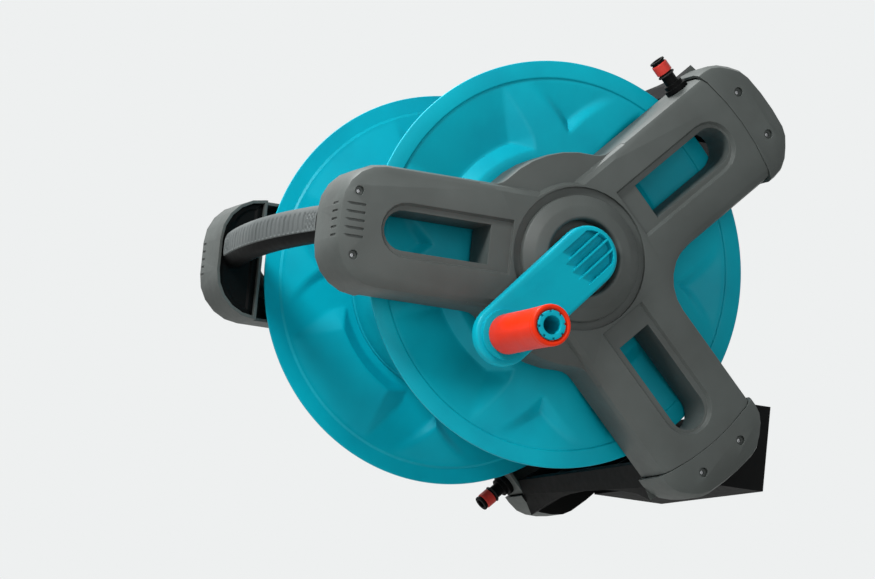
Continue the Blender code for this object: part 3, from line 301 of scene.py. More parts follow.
def combine(base, tools):
    """Apply exact booleans of (tool, kind) in turn and give the result as a bmesh."""
    for tool, kind in tools:
        change = base.modifiers.new(kind.lower(), "BOOLEAN")
        change.operation = kind
        change.solver = "EXACT"
        change.object = tool
    graph = bpy.context.evaluated_depsgraph_get()
    graph.update()
    bm = bmesh.new()
    bm.from_mesh(bpy.data.meshes.new_from_object(base.evaluated_get(graph)))
    for item in [base] + [tool for tool, kind in tools]:
        bpy.data.objects.remove(item, do_unlink=True)
    bmesh.ops.remove_doubles(bm, verts=bm.verts, dist=WELD)
    bmesh.ops.dissolve_degenerate(bm, edges=bm.edges, dist=WELD)
    return bm


def limited(value):
    return max(0.0, min(1.0, value))


# Pressed flanges: a rolled rim round a lower panel, with pointed and wide fields pressed into it.
# Each kind of field comes four times round, and the two kinds take turns.

FIT = 0.0003
FLANGE_STEPS = 360
FIELD_RINGS = 40
FLANGE_R = 0.200
FLANGE_X = 0.140
SHEET = 0.0025
STEP_R = 0.183
PANEL_X = 0.1382
PANEL_RINGS = (0.108, 0.094, 0.060)
NECK_R = 0.0163
NECK_OUT_R = 0.0215
NECK_X = 0.1422
FIELD_PITCH_DEG = 90
FIELD_OUT_R = 0.180
FIELD_IN_R = 0.1135
FIELD_MARGIN = 0.0012
FIELD_WALL = 0.013
FIELD_DROP = 0.0105
POINT_R = 0.143
POINT_FOOT_R = 0.130
POINT_DEG = 12.5
POINT_FOOT_DEG = 16.5
WIDE_DEG = 20.5
WIDE_FLOOR_DEG = 17.8
WIDE_FOOT_DEG = 28.0
CREASE = 0.0011


def pressed(radius, phi):
    """Depth of the pressed fields below the panel, at an angle from the nearest pointed field."""
    psi = FIELD_PITCH_DEG / 2 - phi
    share = limited((FIELD_OUT_R - radius) / (FIELD_OUT_R - FIELD_IN_R - FIELD_WALL))
    floor_line = POINT_R + (FIELD_OUT_R - POINT_R) * phi / POINT_DEG
    foot_line = POINT_FOOT_R + (FIELD_OUT_R - POINT_FOOT_R) * phi / POINT_FOOT_DEG
    pointed = 0.0
    if radius > foot_line:
        pointed = limited((radius - foot_line) / max(1e-6, floor_line - foot_line))
    floor_edge = WIDE_DEG - (WIDE_DEG - WIDE_FLOOR_DEG) * share
    foot_edge = WIDE_DEG + (WIDE_FOOT_DEG - WIDE_DEG) * share
    side = limited((foot_edge - psi) / max(0.1, foot_edge - floor_edge))
    wide = min(side, limited((radius - FIELD_IN_R) / FIELD_WALL))
    return FIELD_DROP * share * max(pointed, wide)


def softened(radius, phi):
    """The same depth with its creases rounded over about two millimetres."""
    turn = math.degrees(CREASE / radius)
    total = 2 * pressed(radius, phi)
    for dr, dp in ((CREASE, 0), (-CREASE, 0), (0, turn), (0, -turn)):
        total += pressed(radius + dr, min(FIELD_PITCH_DEG / 2, abs(phi + dp)))
    return total / 6


def flange_profile():
    """Section of the flange before its fields are pressed: down its face and back behind it."""
    back_x = PANEL_X - SHEET
    rim_back_x = FLANGE_X - SHEET
    out_r = FIELD_OUT_R + FIELD_MARGIN
    width = FIELD_OUT_R + 2 * FIELD_MARGIN - FIELD_IN_R
    field = [out_r - width * i / FIELD_RINGS for i in range(FIELD_RINGS + 1)]
    # Rolled rim: its back edge, then its front edge
    points = fillet((FLANGE_R - 0.0004, rim_back_x), (FLANGE_R, rim_back_x), (FLANGE_R, FLANGE_X - 0.0012), 2)
    points += fillet((FLANGE_R, FLANGE_X - 0.0011), (FLANGE_R, FLANGE_X), (FLANGE_R - 0.0013, FLANGE_X), 3)
    # Step from the rim down to the panel
    points += fillet((STEP_R + 0.0012, FLANGE_X), (STEP_R + 0.0002, FLANGE_X),
                     (STEP_R - 0.0002, PANEL_X + 0.0009), 3)
    points += fillet((STEP_R - 0.0003, PANEL_X + 0.0007), (STEP_R - 0.0004, PANEL_X),
                     (STEP_R - 0.0014, PANEL_X), 3)
    points += [(r, PANEL_X) for r in (*field, *PANEL_RINGS)]
    points += [(NECK_OUT_R + 0.0005, PANEL_X), (NECK_OUT_R, NECK_X), (NECK_R, NECK_X), (NECK_R, back_x)]
    points += [(r, back_x) for r in (*reversed(PANEL_RINGS), *reversed(field))]
    points += [(STEP_R - 0.0010, back_x), (STEP_R + 0.0012, rim_back_x)]
    return points


def flange(label, side):
    """Pressed flange: a rolled rim, a step down to the panel, eight sloping fields, a flat hub."""
    bm = turned(flange_profile(), FLANGE_STEPS)
    depth = {}
    half = FIELD_PITCH_DEG / 2
    for vert in bm.verts:
        y = vert.co.y - HUB_Y
        z = vert.co.z - HUB_Z
        radius = math.hypot(y, z)
        if FIELD_IN_R - 2 * CREASE <= radius <= FIELD_OUT_R + 2 * CREASE:
            phi = abs((math.degrees(math.atan2(z, y)) + half) % FIELD_PITCH_DEG - half)
            key = (round(radius, 6), round(phi, 3))
            if key not in depth:
                depth[key] = softened(radius, phi)
            vert.co.x -= depth[key]
        vert.co.x *= side
    return fit_piece(f"{label}_pressed_flange", bm, [turquoise], "drum", [f"{label}_flange"], 30)


for label, side in SIDES.items():
    flange(label, side)


# Drum core between the two panels, with a fine bead at each end

CORE_R = 0.105
CORE_WALL = 0.0035
CORE_X = PANEL_X - SHEET - FIT
CORE_WAIST_X = 0.030
BEAD = 0.0012
BEAD_LENGTH = 0.002


def drum_core():
    """Plain barrel with a bead at each end."""
    half = [(CORE_R, CORE_WAIST_X), (CORE_R, CORE_X - BEAD_LENGTH - BEAD),
            (CORE_R + BEAD, CORE_X - BEAD_LENGTH), (CORE_R + BEAD, CORE_X)]
    profile = [(r, -x) for r, x in reversed(half)] + [(CORE_R, 0.0)] + half
    profile += [(CORE_R - CORE_WALL, CORE_X), (CORE_R - CORE_WALL, -CORE_X)]
    # The core's darker turquoise is painted shade between the flanges
    return fit_piece("moulded_drum_core", turned(profile, 144), [shaded_turquoise_core], "drum", ["drum_core"])


drum_core()


# Frame shells and crossbeams: the part's mouldings, with the hub disc lowered between the arms, the
# screw recesses deepened and the crossbeams' end caps standing proud. Each side has an arm to the
# front and two to the wall, and u and v run along and across a wall side arm.

FACE_X = 0.194
CHANNEL_END_X = 0.1435
BARREL_R = 0.094
BARREL_END_X = PANEL_X + 0.0014
RECESS_R = 0.070
ARM_HALF = 0.061
WALL_ARM_DEG = 45
DIAGONAL = math.sqrt(0.5)
DISC_R = 0.105
DISC_CUT_R = 0.125
DISC_DROP = 0.008
DISC_FLOOR = 0.003
DISC_FLOOR_HALF = 0.048
DISC_MIDDLES_DEG = (112.5, 247.5)
DISC_SPREAD_DEG = 67.5
SINK_DEPTH = 0.0022
SINK_EXTRA = 0.004
SINK_RIM_R = 0.0054
FRONT_SCREW_Y = -0.234
FRONT_SCREW_Z = 0.031
CAP_SCREW_R = 0.2425
CAP_SCREW_DEG = 6.1
CAP_START_X = 0.142
CAP_PROUD = 0.004
CAP_FACE_PROUD = 0.0006
CAP_SIDE_V = 0.044
CAP_SIDE_RISE = 0.014
CAP_END_U = 0.2475
CAP_END_RISE = 0.010


def screw_spots():
    """Screws of one side: two at the front tip and two at the end of each wall side arm."""
    spots = [(FRONT_SCREW_Y, FRONT_SCREW_Z), (FRONT_SCREW_Y, -FRONT_SCREW_Z)]
    for arm in (WALL_ARM_DEG, -WALL_ARM_DEG):
        for swing in (-CAP_SCREW_DEG, CAP_SCREW_DEG):
            a = math.radians(arm + swing)
            spots.append((CAP_SCREW_R * math.cos(a), CAP_SCREW_R * math.sin(a)))
    return spots


SPOTS = screw_spots()


def sector(middle, half, inner, reach, steps=10):
    """Hub disc between two arms: two arcs, and edges half the arm's width off the arms' lines."""
    points = []
    for radius, way in ((inner, -1), (reach, 1)):
        swing = DISC_SPREAD_DEG - math.degrees(math.asin(half / radius))
        for i in range(steps + 1):
            a = math.radians(middle + way * swing * (2 * i / steps - 1))
            points.append((radius * math.cos(a), radius * math.sin(a)))
    return points


def hub_section(x, points):
    """Points about the hub, at a distance x along its axis."""
    return [(x, HUB_Y + y, HUB_Z + z) for y, z in points]


def lowered_disc(bm, side):
    """The hub disc lies lower than the arms: cut between them, with a floor and step walls added."""
    base = solid("disc_base", bm)
    tools = []
    for k, middle in enumerate(DISC_MIDDLES_DEG):
        floor = sector(middle, DISC_FLOOR_HALF, RECESS_R + NEAR, DISC_R - 0.0015)
        heights = (FACE_X - DISC_DROP - DISC_FLOOR, FACE_X - 0.0012)
        tools.append((prism(f"disc_floor_{k}", [hub_section(side * x, floor) for x in heights]), "UNION"))
    # The step walls slope: each level is (height, half the arm's width, radius at the hub ring)
    walls = ((FACE_X - DISC_DROP, ARM_HALF - 0.0012, RECESS_R + 0.0050),
             (FACE_X - 0.0032, ARM_HALF - 0.0034, RECESS_R + 0.0040),
             (FACE_X - 0.0008, ARM_HALF - 0.0072, RECESS_R + 0.0026),
             (FACE_X + OVER, ARM_HALF - 0.0095, RECESS_R + 0.0016))
    for k, middle in enumerate(DISC_MIDDLES_DEG):
        levels = [hub_section(side * x, sector(middle, half, inner, DISC_CUT_R)) for x, half, inner in walls]
        tools.append((prism(f"disc_cut_{k}", levels), "DIFFERENCE"))
    return combine(base, tools)


def reworked(node, name, finishes, change, cut_side=0):
    """A copy of a moulding with its vertices moved; a second finish goes between the two shells."""
    bm = bmesh.new()
    bm.from_mesh(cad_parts[node].data)
    bmesh.ops.remove_doubles(bm, verts=bm.verts, dist=WELD)
    for vert in bm.verts:
        side = 1 if vert.co.x > 0 else -1
        x, y, z = change(abs(vert.co.x), vert.co.y - HUB_Y, vert.co.z - HUB_Z)
        vert.co = (side * x, HUB_Y + y, HUB_Z + z)
    if cut_side:
        bm = lowered_disc(bm, cut_side)
    if len(finishes) > 1:
        for face in bm.faces:
            face.material_index = 1 if abs(face.calc_center_median().x) < CHANNEL_END_X else 0
    return fit_piece(name, bm, finishes, "frame", [node], 30)


def deeper(x, y, z):
    """Screw recesses sunk deeper, so that each small head sits in a dark hole."""
    on_floor = abs(x - (FACE_X - SINK_DEPTH)) < NEAR
    if on_floor and any(math.hypot(y - sy, z - sz) < SINK_RIM_R for sy, sz in SPOTS):
        x -= SINK_EXTRA
    return x, y, z


def frame_change(x, y, z):
    """The bearing barrel stops short of the flat flange panel."""
    if math.hypot(y, z) < BARREL_R and x < BARREL_END_X:
        x = BARREL_END_X
    return deeper(x, y, z)


def beam_change(x, y, z):
    """The end caps stand proud of the arms all round, clear of their screws."""
    x, y, z = deeper(x, y, z)
    if x > CAP_START_X:
        sign = 1 if z > 0 else -1
        u = (y + sign * z) * DIAGONAL
        v = (z * sign - y) * DIAGONAL
        grow_v = CAP_PROUD * limited((abs(v) - CAP_SIDE_V) / CAP_SIDE_RISE)
        u += CAP_PROUD * limited((u - CAP_END_U) / CAP_END_RISE)
        v += grow_v if v > 0 else -grow_v
        if x > FACE_X - NEAR:
            x += CAP_FACE_PROUD
        y = (u - v) * DIAGONAL
        z = sign * (u + v) * DIAGONAL
    return x, y, z


for label, side in SIDES.items():
    reworked(f"{label}_frame", f"{label}_frame_shell", [grained_grey], frame_change, side)
# The crossbeams' middles take the black finish, whose near-black tone is painted shade
for label in ("upper", "lower"):
    reworked(f"{label}_crossbeam", f"{label}_capped_crossbeam", [grained_grey, shade_darkened_black_polypropylene],
             beam_change)


# Hub covers: a sloping outer band, a dished ring face and a rounded lip round the hole

COVER_R = 0.0615
COVER_HOLE_R = 0.037
COVER_FLOOR_X = 0.1903
COVER_TOP_X = 0.206


def hub_cover(label, side):
    """Domed ring round a hub, hollow underneath."""
    profile = [(COVER_R, COVER_FLOOR_X), (COVER_R, FACE_X + 0.0004)]
    # Foot and top of the sloping band
    profile += fillet((COVER_R, FACE_X + 0.0006), (COVER_R, FACE_X + 0.0020),
                      (COVER_R - 0.0010, FACE_X + 0.0028))
    profile += fillet((COVER_R - 0.0095, FACE_X + 0.0078), (COVER_R - 0.0110, FACE_X + 0.0090),
                      (COVER_R - 0.0130, FACE_X + 0.0094))
    # Lip, the hole's wall and the hollow underside
    profile += fillet((COVER_HOLE_R + 0.0035, COVER_TOP_X - 0.0001), (COVER_HOLE_R + 0.0014, COVER_TOP_X),
                      (COVER_HOLE_R + 0.0004, COVER_TOP_X - 0.0014))
    profile += [(COVER_HOLE_R, COVER_TOP_X - 0.0030), (COVER_HOLE_R, COVER_FLOOR_X),
                (COVER_HOLE_R + 0.0025, COVER_FLOOR_X), (COVER_HOLE_R + 0.0030, COVER_TOP_X - 0.0045),
                (COVER_R - 0.0065, FACE_X + 0.0012), (COVER_R - 0.0025, COVER_FLOOR_X)]
    bm = turned([(r, side * x) for r, x in profile], 120)
    return fit_piece(f"{label}_domed_hub_cover", bm, [grained_grey], "frame", [f"{label}_hub_cover"], 28)


for label, side in SIDES.items():
    hub_cover(label, side)


# Crank arm: u runs along it from the hub to the peg, and v across it

CRANK_TURN = math.radians(227.7)
CRANK_LENGTH = 0.119
CRANK_HALF = 0.030
CRANK_BACK_X = 0.2068
CRANK_FACE_X = 0.217
CRANK_EDGE = 0.003
CRANK_EDGE_STEPS = 5
CRANK_BACK_EDGE = 0.0004
CRANK_FLARE = 1.15
CRANK_BOSS_R = 0.028
CRANK_BOSS = 0.0096
SOCKET_R = 0.0163
SOCKET_TOP_X = 0.2043
COLLAR_R = 0.0245
COLLAR_X = 0.2215
PEG_R = 0.0117
PEG_FOOT_X = 0.2096
PEG_END_X = 0.328
KNOB_Y = CRANK_LENGTH * math.cos(CRANK_TURN)
KNOB_Z = CRANK_LENGTH * math.sin(CRANK_TURN)

# Three ribs with four hollows beside them, deep at the hub and ramping up to the flat of the arm
RIBS_V = (-0.0106, 0.0, 0.0106)
RIB_HALF = 0.0009
HOLLOW_HALF = 0.0206
HOLLOW_DEPTH = 0.0085
HOLLOW_RIM = 0.0045
HOLLOW_DRAFT = 0.0006
HOLLOW_TAPER = 0.985
RAMP_FOOT_U = 0.006
RAMP_TOP_U = 0.027
RAMP_SWEEP = 0.45
RAMP_OVER = 0.006


def stadium(inset, steps=24):
    """Crank outline in u and v, drawn in by the inset."""
    radius = CRANK_HALF - inset
    points = []
    for middle_u, start in ((0.0, math.pi / 2), (CRANK_LENGTH, -math.pi / 2)):
        for i in range(steps + 1):
            a = start + math.pi * i / steps
            points.append((middle_u + radius * math.cos(a), radius * math.sin(a)))
    return points


def crank_section(x, points):
    """Points of the crank in u and v, at a distance x along the hub's axis."""
    c = math.cos(CRANK_TURN)
    s = math.sin(CRANK_TURN)
    return [(x, HUB_Y + u * c - v * s, HUB_Z + u * s + v * c) for u, v in points]


def crank_hollow(low, high):
    """One hollow between v = low and high: its floor, its mouth and a copy of the mouth in the air."""
    reach = []
    for v in (low, (low + high) / 2, high):
        reach.append((v, math.sqrt(max(1e-6, (CRANK_HALF - HOLLOW_RIM) ** 2 - v ** 2))))
    ramp = RAMP_TOP_U - RAMP_SWEEP * abs(low + high) / 2
    mouth = [(-r, v) for v, r in reach] + [(ramp, v) for v, r in reversed(reach)]
    floor = [(-r + HOLLOW_DRAFT, v * HOLLOW_TAPER) for v, r in reach]
    floor += [(RAMP_FOOT_U, v) for v, r in reversed(reach)]
    above = [(u + (RAMP_OVER if i >= len(reach) else 0), v) for i, (u, v) in enumerate(mouth)]
    return prism(f"hollow_{low}", [crank_section(CRANK_FACE_X - HOLLOW_DEPTH, floor),
                                   crank_section(CRANK_FACE_X, mouth),
                                   crank_section(CRANK_FACE_X + 2 * OVER, above)])


def crank():
    """Crank arm: rounded edges, a hub boss, a ribbed hollow that ramps up to the flat, a collar."""
    levels = [crank_section(CRANK_BACK_X, stadium(CRANK_BACK_EDGE)),
              crank_section(CRANK_BACK_X + CRANK_BACK_EDGE, stadium(0.0))]
    for i in range(CRANK_EDGE_STEPS + 1):
        t = i / CRANK_EDGE_STEPS * math.pi / 2
        x = CRANK_FACE_X - CRANK_EDGE + CRANK_EDGE * math.sin(t)
        levels.append(crank_section(x, stadium(CRANK_EDGE * (1 - math.cos(t)) * CRANK_FLARE)))
    arm = prism("crank_body", levels)
    boss_x = CRANK_BACK_X - CRANK_BOSS
    boss = disc("boss", boss_x, CRANK_BACK_X + OVER, CRANK_BOSS_R, 64)
    collar = disc("collar", CRANK_FACE_X - OVER, COLLAR_X, COLLAR_R, 72, KNOB_Y, KNOB_Z)
    socket = disc("socket", boss_x - 2 * OVER, SOCKET_TOP_X, SOCKET_R, 48)
    peg_hole = disc("peg_hole", PEG_FOOT_X - FIT, COLLAR_X + OVER, PEG_R + FIT, 48, KNOB_Y, KNOB_Z)
    tools = [(boss, "UNION"), (collar, "UNION"), (socket, "DIFFERENCE"), (peg_hole, "DIFFERENCE")]
    edges = [v + way * RIB_HALF for v in RIBS_V for way in (-1, 1)]
    edges = [-HOLLOW_HALF, *edges, HOLLOW_HALF]
    for low, high in zip(edges[::2], edges[1::2]):
        tools.append((crank_hollow(low, high), "DIFFERENCE"))
    return fit_piece("ribbed_crank_arm", combine(arm, tools), [turquoise], "drum", ["crank_arm"], 32)


crank()


# Crank peg: the post inside the grip, its end ring cut by notches

PEG_LIP_R = 0.0142
PEG_LIP = 0.0033
PEG_BORE_R = 0.0088
PEG_FLOOR = 0.002
NOTCHES = 8
NOTCH_TURN_DEG = 12
NOTCH_IN_R = 0.0120
NOTCH_OUT_R = 0.0156
NOTCH_HALF = 0.0012
NOTCH_DEPTH = 0.0030


def peg():
    """Post inside the grip with a notched end ring."""
    profile = [(PEG_R, PEG_FOOT_X), (PEG_R, PEG_END_X - PEG_LIP - 0.0002), (PEG_LIP_R, PEG_END_X - PEG_LIP)]
    profile += fillet((PEG_LIP_R, PEG_END_X - 0.0010), (PEG_LIP_R, PEG_END_X),
                      (PEG_LIP_R - 0.0010, PEG_END_X), 3)
    profile += fillet((PEG_BORE_R + 0.0007, PEG_END_X), (PEG_BORE_R, PEG_END_X),
                      (PEG_BORE_R, PEG_END_X - 0.0007), 3)
    profile += [(PEG_BORE_R, PEG_FOOT_X + PEG_FLOOR), (0.0, PEG_FOOT_X + PEG_FLOOR), (0.0, PEG_FOOT_X)]
    body = solid("peg_body", turned(profile, 96, KNOB_Y, KNOB_Z))
    tools = []
    for k in range(NOTCHES):
        turn = 360 / NOTCHES * k + NOTCH_TURN_DEG
        cut = radial_bar(f"notch_{k}", turn, NOTCH_IN_R, NOTCH_OUT_R, NOTCH_HALF,
                         PEG_END_X - NOTCH_DEPTH, PEG_END_X + OVER, KNOB_Y, KNOB_Z)
        tools.append((cut, "DIFFERENCE"))
    return fit_piece("notched_crank_peg", combine(body, tools), [turquoise], "drum", ["crank_peg"], 32)


peg()


# Grip sleeve: it swells slightly towards a rounded end with a shallow ring groove

GRIP_START_X = COLLAR_X + FIT
GRIP_END_X = PEG_END_X - 0.0006
GRIP_ROOT_R = 0.0192
GRIP_SWELL_R = 0.0200
GRIP_GROOVE_R = 0.0196


def grip_sleeve():
    """Turned sleeve that covers the peg and its end ring."""
    profile = fillet((0.0180, GRIP_START_X), (GRIP_ROOT_R, GRIP_START_X),
                     (0.0194, GRIP_START_X + 0.0020), 4)
    # The waist of the sleeve, then the swell up to the ring groove
    profile += [(0.0193, GRIP_START_X + 0.02), (GRIP_ROOT_R, GRIP_START_X + 0.05),
                (0.0195, GRIP_START_X + 0.08), (0.0199, GRIP_END_X - 0.0075)]
    profile += [(GRIP_GROOVE_R, GRIP_END_X - 0.0070), (GRIP_GROOVE_R, GRIP_END_X - 0.0062),
                (GRIP_SWELL_R, GRIP_END_X - 0.0057)]
    profile += fillet((GRIP_SWELL_R, GRIP_END_X - 0.0024), (GRIP_SWELL_R, GRIP_END_X),
                      (0.0178, GRIP_END_X), 6)
    # Mouth round the peg's end ring, then the bore on the peg
    lip_x = PEG_END_X - 0.0039
    profile += [(0.0164, GRIP_END_X - 0.0003), (PEG_LIP_R + 0.0007, GRIP_END_X - 0.0018),
                (PEG_LIP_R + 0.0007, lip_x), (PEG_R + 0.0004, lip_x), (PEG_R + 0.0004, GRIP_START_X)]
    bm = turned(profile, 128, KNOB_Y, KNOB_Z)
    return fit_piece("swelling_grip_sleeve", bm, [orange_abs], "grip", ["grip_sleeve"], 32)


grip_sleeve()


# Carry handle: a bowed bar, black below and wrapped in a soft ribbed grip above

HANDLE_TOP_Z = 0.0240
HANDLE_LOW_Z = -0.0122
HANDLE_PART_Z = -0.0032
HANDLE_DEPTH = 0.030
HANDLE_FRONT = 0.262
HANDLE_BOW = 0.0135
HANDLE_KEEL = 0.42
SQUARE_Y = 0.62
SQUARE_Z = 0.72
BOW_X = 0.134
SKIN_X = 0.1265
SKIN_RIM = 0.0025
SKIN_PROUD = 0.0012
BAR_X = 0.150
BAR_STEPS = 420
BAR_AROUND = 96
BAND_FOOT = 0.0010
BAND_FOOT_RISE = 0.0015
BAND_TOP = 0.0068
BAND_TOP_RISE = 0.0020
RIB_PITCH = 0.0098
RIB_DEPTH = 0.0014
HATCH_PITCH = 0.0062
HATCH_DEPTH = 0.0010
HATCH_LENGTH = 0.020


def bar_point(x, a, sink):
    """Point of the bar at x, an angle round it and a depth below its skin."""
    front = HANDLE_FRONT - HANDLE_BOW * (x / BOW_X) ** 2
    middle = (HANDLE_TOP_Z + HANDLE_LOW_Z) / 2
    half = (HANDLE_TOP_Z - HANDLE_LOW_Z) / 2
    c = math.cos(a)
    s = math.sin(a)
    y = math.copysign(abs(c) ** SQUARE_Y, c) * (HANDLE_DEPTH / 2 - sink)
    z = math.copysign(abs(s) ** SQUARE_Z, s) * (half - sink)
    low = limited((HANDLE_PART_Z - middle - z) / half)
    return (x, HUB_Y - front + HANDLE_DEPTH / 2 + y * (1 - HANDLE_KEEL * low), HUB_Z + middle + z)


def bar_sink(x, a):
    """Depth of the grip pattern: cross ribs on front and back, a hatched patch near each end."""
    z = bar_point(x, a, 0)[2] - HUB_Z
    if z < HANDLE_PART_Z or abs(x) > SKIN_X:
        return SKIN_PROUD
    if abs(x) > SKIN_X - SKIN_RIM:
        return 0.0
    band = limited((z - HANDLE_PART_Z - BAND_FOOT) / BAND_FOOT_RISE)
    band *= limited((HANDLE_TOP_Z - BAND_TOP - z) / BAND_TOP_RISE)
    if abs(x) > SKIN_X - HATCH_LENGTH:
        first = abs((x + z) / HATCH_PITCH % 1 - 0.5)
        second = abs((x - z) / HATCH_PITCH % 1 - 0.5)
        return HATCH_DEPTH * band * limited((0.17 - min(first, second)) / 0.05)
    wave = abs(x / RIB_PITCH % 1 - 0.5) * 2
    return RIB_DEPTH * band * limited((0.46 - wave) / 0.14)


def handle():
    """Bowed carry handle between the two front tips."""
    turns = [math.tau * (j + 0.5) / BAR_AROUND for j in range(BAR_AROUND)]
    sections = []
    for i in range(BAR_STEPS + 1):
        x = -BAR_X + 2 * BAR_X * i / BAR_STEPS
        sections.append([bar_point(x, a, bar_sink(x, a)) for a in turns])
    bm = skinned(sections)
    for face in bm.faces:
        middle = face.calc_center_median()
        soft = middle.z - HUB_Z > HANDLE_PART_Z and abs(middle.x) < SKIN_X
        face.material_index = 0 if soft else 1
    return fit_piece("ribbed_carry_handle", bm, [soft_elastomer, black_abs], "frame",
                     ["handle_core", "handle_skin"], 42)


handle()


# Handle end plates: they close the hollows of the front tips, each with a pressed field. Here u runs
# to the front and v up.

PLATE_X = 0.1385
PLATE_CORNER_R = 0.0418
PLATE_CORNER_U = 0.207
PLATE_CORNER_V = 0.016
PLATE_BACK_U = 0.2085
PLATE_STEPS = 12
PLATE_PIVOT_U = 0.226
PLATE_PIVOT_REACH = 0.020
# Levels of (distance along x, how far the outline is drawn in to the pivot): the edge, then the field
PLATE_LEVELS = ((PLATE_X + 0.003, 0.0), (PLATE_X, 0.0), (PLATE_X - 0.0006, 0.0012),
                (PLATE_X - 0.0006, 0.006), (PLATE_X + 0.0012, 0.0085))


def tip_plate(label, side):
    """Black end plate of the handle in one front tip."""
    outline = []
    for start, way in ((-90, -1), (0, 1)):
        for i in range(PLATE_STEPS + 1):
            a = math.radians(start + 90 * i / PLATE_STEPS)
            outline.append((PLATE_CORNER_U + PLATE_CORNER_R * math.cos(a),
                            way * PLATE_CORNER_V + PLATE_CORNER_R * math.sin(a)))
    half = PLATE_CORNER_V + PLATE_CORNER_R
    outline += [(PLATE_BACK_U, half), (PLATE_BACK_U, -half)]
    sections = []
    for x, inset in PLATE_LEVELS:
        share_u = 1 - inset / PLATE_PIVOT_REACH
        share_v = 1 - inset / half
        points = [(-(PLATE_PIVOT_U + (u - PLATE_PIVOT_U) * share_u), v * share_v) for u, v in outline]
        sections.append(hub_section(side * x, points))
    return fit_piece(f"handle_end_plate_{label}", skinned(sections), [black_abs], "frame")


for label, side in SIDES.items():
    tip_plate(label, side)


# Frame screws: small pan heads with a cross recess, sunk in their holes

HEAD_R = 0.0034
HEAD = 0.0018
SHANK_R = 0.0018
SHANK_LENGTH = 0.0110
SHANK_TIP = 0.0010
CROSS_TURN_DEG = 31
CROSS_REACH = 0.0019
CROSS_HALF = 0.00032
CROSS_DEPTH = 0.0009


def screw(node):
    """Pan head screw in the place of a node, with a cross recess."""
    low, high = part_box(node)
    y = (low[1] + high[1]) / 2 - HUB_Y
    z = (low[2] + high[2]) / 2 - HUB_Z
    top = FACE_X - SINK_DEPTH - SINK_EXTRA + HEAD
    foot = top - HEAD
    profile = [(0.0, top)] + fillet((0.0016, top), (0.0032, top), (HEAD_R, top - 0.0011), 5)
    profile += [(HEAD_R, foot), (SHANK_R, foot), (SHANK_R, foot - SHANK_LENGTH + SHANK_TIP),
                (0.0, foot - SHANK_LENGTH)]
    body = solid("screw_body", turned(profile, 32, y, z))
    tools = []
    for turn in (CROSS_TURN_DEG, CROSS_TURN_DEG + 90):
        cut = radial_bar(f"recess_{turn}", turn, -CROSS_REACH, CROSS_REACH, CROSS_HALF,
                         top - CROSS_DEPTH, top + OVER, y, z)
        tools.append((cut, "DIFFERENCE"))
    bm = combine(body, tools)
    if high[0] < 0:
        for vert in bm.verts:
            vert.co.x = -vert.co.x
    return fit_piece(f"pan_head_{node}", bm, [bright_zinc], "frame", [node], 35)


for label in SIDES:
    for end in ("front", "upper", "lower"):
        for i in (1, 2):
            screw(f"screw_{label}_{end}_{i}")


# Nodes that keep their own shape

FINISHES = {
    black_abs: ["upper_nipple", "lower_nipple", "inlet_elbow", "axle_tube", "hose_nipple"],
    # The bracket's black finish is darkened as painted shade
    shade_darkened_black_polypropylene: ["wall_bracket"],
    red_acetal: ["upper_nipple_ring", "lower_nipple_ring", "inlet_ring"],
    pale_acetal: ["right_hub_bush", "left_hub_bush"],
    nitrile: ["upper_nipple_seal", "lower_nipple_seal", "inlet_seal", "axle_seal"],
}
for finish, nodes in FINISHES.items():
    for node in nodes:
        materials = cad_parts[node].data.materials
        materials.clear()
        materials.append(finish)


# Stage: a pale floor well below the reel, a pale surround and soft lamps

FLOOR_Z = -0.75
FLOOR_REACH = 8.0
FLOOR_GLOW = 0.72
MOTTLES_PER_METRE = 6.0
BACKGROUND = "EEF0F0"
SURROUND_LIGHT = 0.22


def floor_paint():
    """Matt pale floor paint, most of it as bright as the background where the camera sees it."""
    mat, tree, shader = new_material("pale_floor_paint")
    place = shader_node(tree, "ShaderNodeTexCoord")
    mottle = shader_node(tree, "ShaderNodeTexNoise", sockets={"Scale": MOTTLES_PER_METRE, "Detail": 3.0},
                         links={"Vector": (place, "Object")})
    tone = shader_node(tree, "ShaderNodeValToRGB", links={"Fac": (mottle, "Fac")})
    tone.color_ramp.elements[0].color = srgb("DCDCDA")
    tone.color_ramp.elements[1].color = srgb("E4E4E2")
    tree.links.new(tone.outputs["Color"], shader.inputs["Base Color"])
    shader.inputs["Roughness"].default_value = 0.8
    rays = shader_node(tree, "ShaderNodeLightPath")
    pale = shader_node(tree, "ShaderNodeEmission", sockets={"Color": srgb(BACKGROUND), "Strength": 1.0})
    share = shader_node(tree, "ShaderNodeMath", {"operation": "MULTIPLY"}, sockets={1: FLOOR_GLOW},
                        links={0: (rays, "Is Camera Ray")})
    both = shader_node(tree, "ShaderNodeMixShader",
                       links={"Fac": (share, "Value"), 1: (shader, "BSDF"), 2: (pale, "Emission")})
    output = next(node for node in tree.nodes if node.type == "OUTPUT_MATERIAL")
    tree.links.new(both.outputs["Shader"], output.inputs["Surface"])
    return mat


def studio_floor():
    """Level floor, for the stage only."""
    bm = bmesh.new()
    bmesh.ops.create_grid(bm, x_segments=1, y_segments=1, size=FLOOR_REACH)
    mesh = bpy.data.meshes.new("studio_floor")
    bm.to_mesh(mesh)
    bm.free()
    mesh.materials.append(floor_paint())
    item = placed("studio_floor", mesh)
    item.location = (0, 0, FLOOR_Z)


studio_floor()


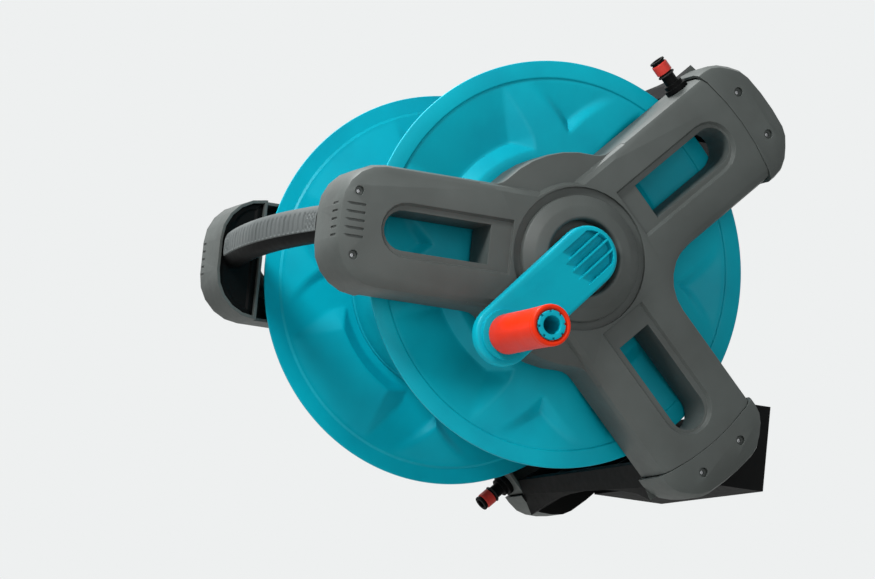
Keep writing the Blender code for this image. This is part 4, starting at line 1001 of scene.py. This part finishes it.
def surround():
    """Dim light from all round; the camera, metal and glass see the pale background instead."""
    world = bpy.data.worlds.new("studio_surround")
    bpy.context.scene.world = world
    world.use_nodes = True
    sky = world.node_tree
    sky.nodes.clear()
    rays = shader_node(sky, "ShaderNodeLightPath")
    through = shader_node(sky, "ShaderNodeMath", {"operation": "MAXIMUM"},
                          links={0: (rays, "Is Camera Ray"), 1: (rays, "Is Transmission Ray")})
    seen = shader_node(sky, "ShaderNodeMath", {"operation": "MAXIMUM"},
                       links={0: (through, "Value"), 1: (rays, "Is Glossy Ray")})
    dim = shader_node(sky, "ShaderNodeBackground",
                      sockets={"Color": srgb("F2F4F6"), "Strength": SURROUND_LIGHT})
    pale = shader_node(sky, "ShaderNodeBackground", sockets={"Color": srgb(BACKGROUND), "Strength": 1.0})
    choice = shader_node(sky, "ShaderNodeMixShader",
                         links={"Fac": (seen, "Value"), 1: (dim, "Background"), 2: (pale, "Background")})
    shader_node(sky, "ShaderNodeOutputWorld", links={"Surface": (choice, "Shader")})


surround()

# Lamps: (place, width of the soft box, watts), all aimed at the middle of the reel
CENTRE = Vector((0.05, -0.30, 0.16))
LAMPS = {
    "key_softbox": ((0.72, -1.45, 1.00), 0.42, 23),
    "fill_softbox": ((2.3, -0.6, 0.5), 1.4, 12),
    "rim_softbox": ((-0.55, -1.15, 1.9), 0.45, 52),
}
for name, (place, width, watts) in LAMPS.items():
    data = bpy.data.lights.new(name, "AREA")
    data.shape = "DISK"
    data.size = width
    data.energy = watts
    item = placed(name, data)
    item.location = place
    item.rotation_euler = (CENTRE - Vector(place)).to_track_quat("-Z", "Y").to_euler()


# Camera fitted to the photograph

AZIMUTH = 67.92
ELEVATION = -7.96
ROLL = 5.70
EYE = Vector((4.7497, -1.9926 + HUB_Y, -0.7390 + HUB_Z))
FOCAL_PX = 5196.2
IMAGE_WIDTH = 875
SENSOR_MM = 36.0
FAR_PLANE = 50


def photo_camera():
    """Camera at the eye, turned and rolled as in the photograph."""
    a = math.radians(AZIMUTH)
    e = math.radians(ELEVATION)
    r = math.radians(ROLL)
    back = Vector((math.sin(a) * math.cos(e), -math.cos(a) * math.cos(e), math.sin(e)))
    right = (-back).cross(Vector((0, 0, 1))).normalized()
    up = right.cross(-back)
    right_rolled = right * math.cos(r) + up * math.sin(r)
    up_rolled = -right * math.sin(r) + up * math.cos(r)
    data = bpy.data.cameras.new("photo_camera")
    data.sensor_width = SENSOR_MM
    data.lens = FOCAL_PX / IMAGE_WIDTH * SENSOR_MM
    data.clip_end = FAR_PLANE
    item = placed("photo_camera", data)
    turn = Matrix((right_rolled, up_rolled, back)).transposed().to_4x4()
    turn.translation = EYE
    item.matrix_world = turn
    bpy.context.scene.camera = item


photo_camera()
bpy.context.scene.view_settings.view_transform = "Standard"
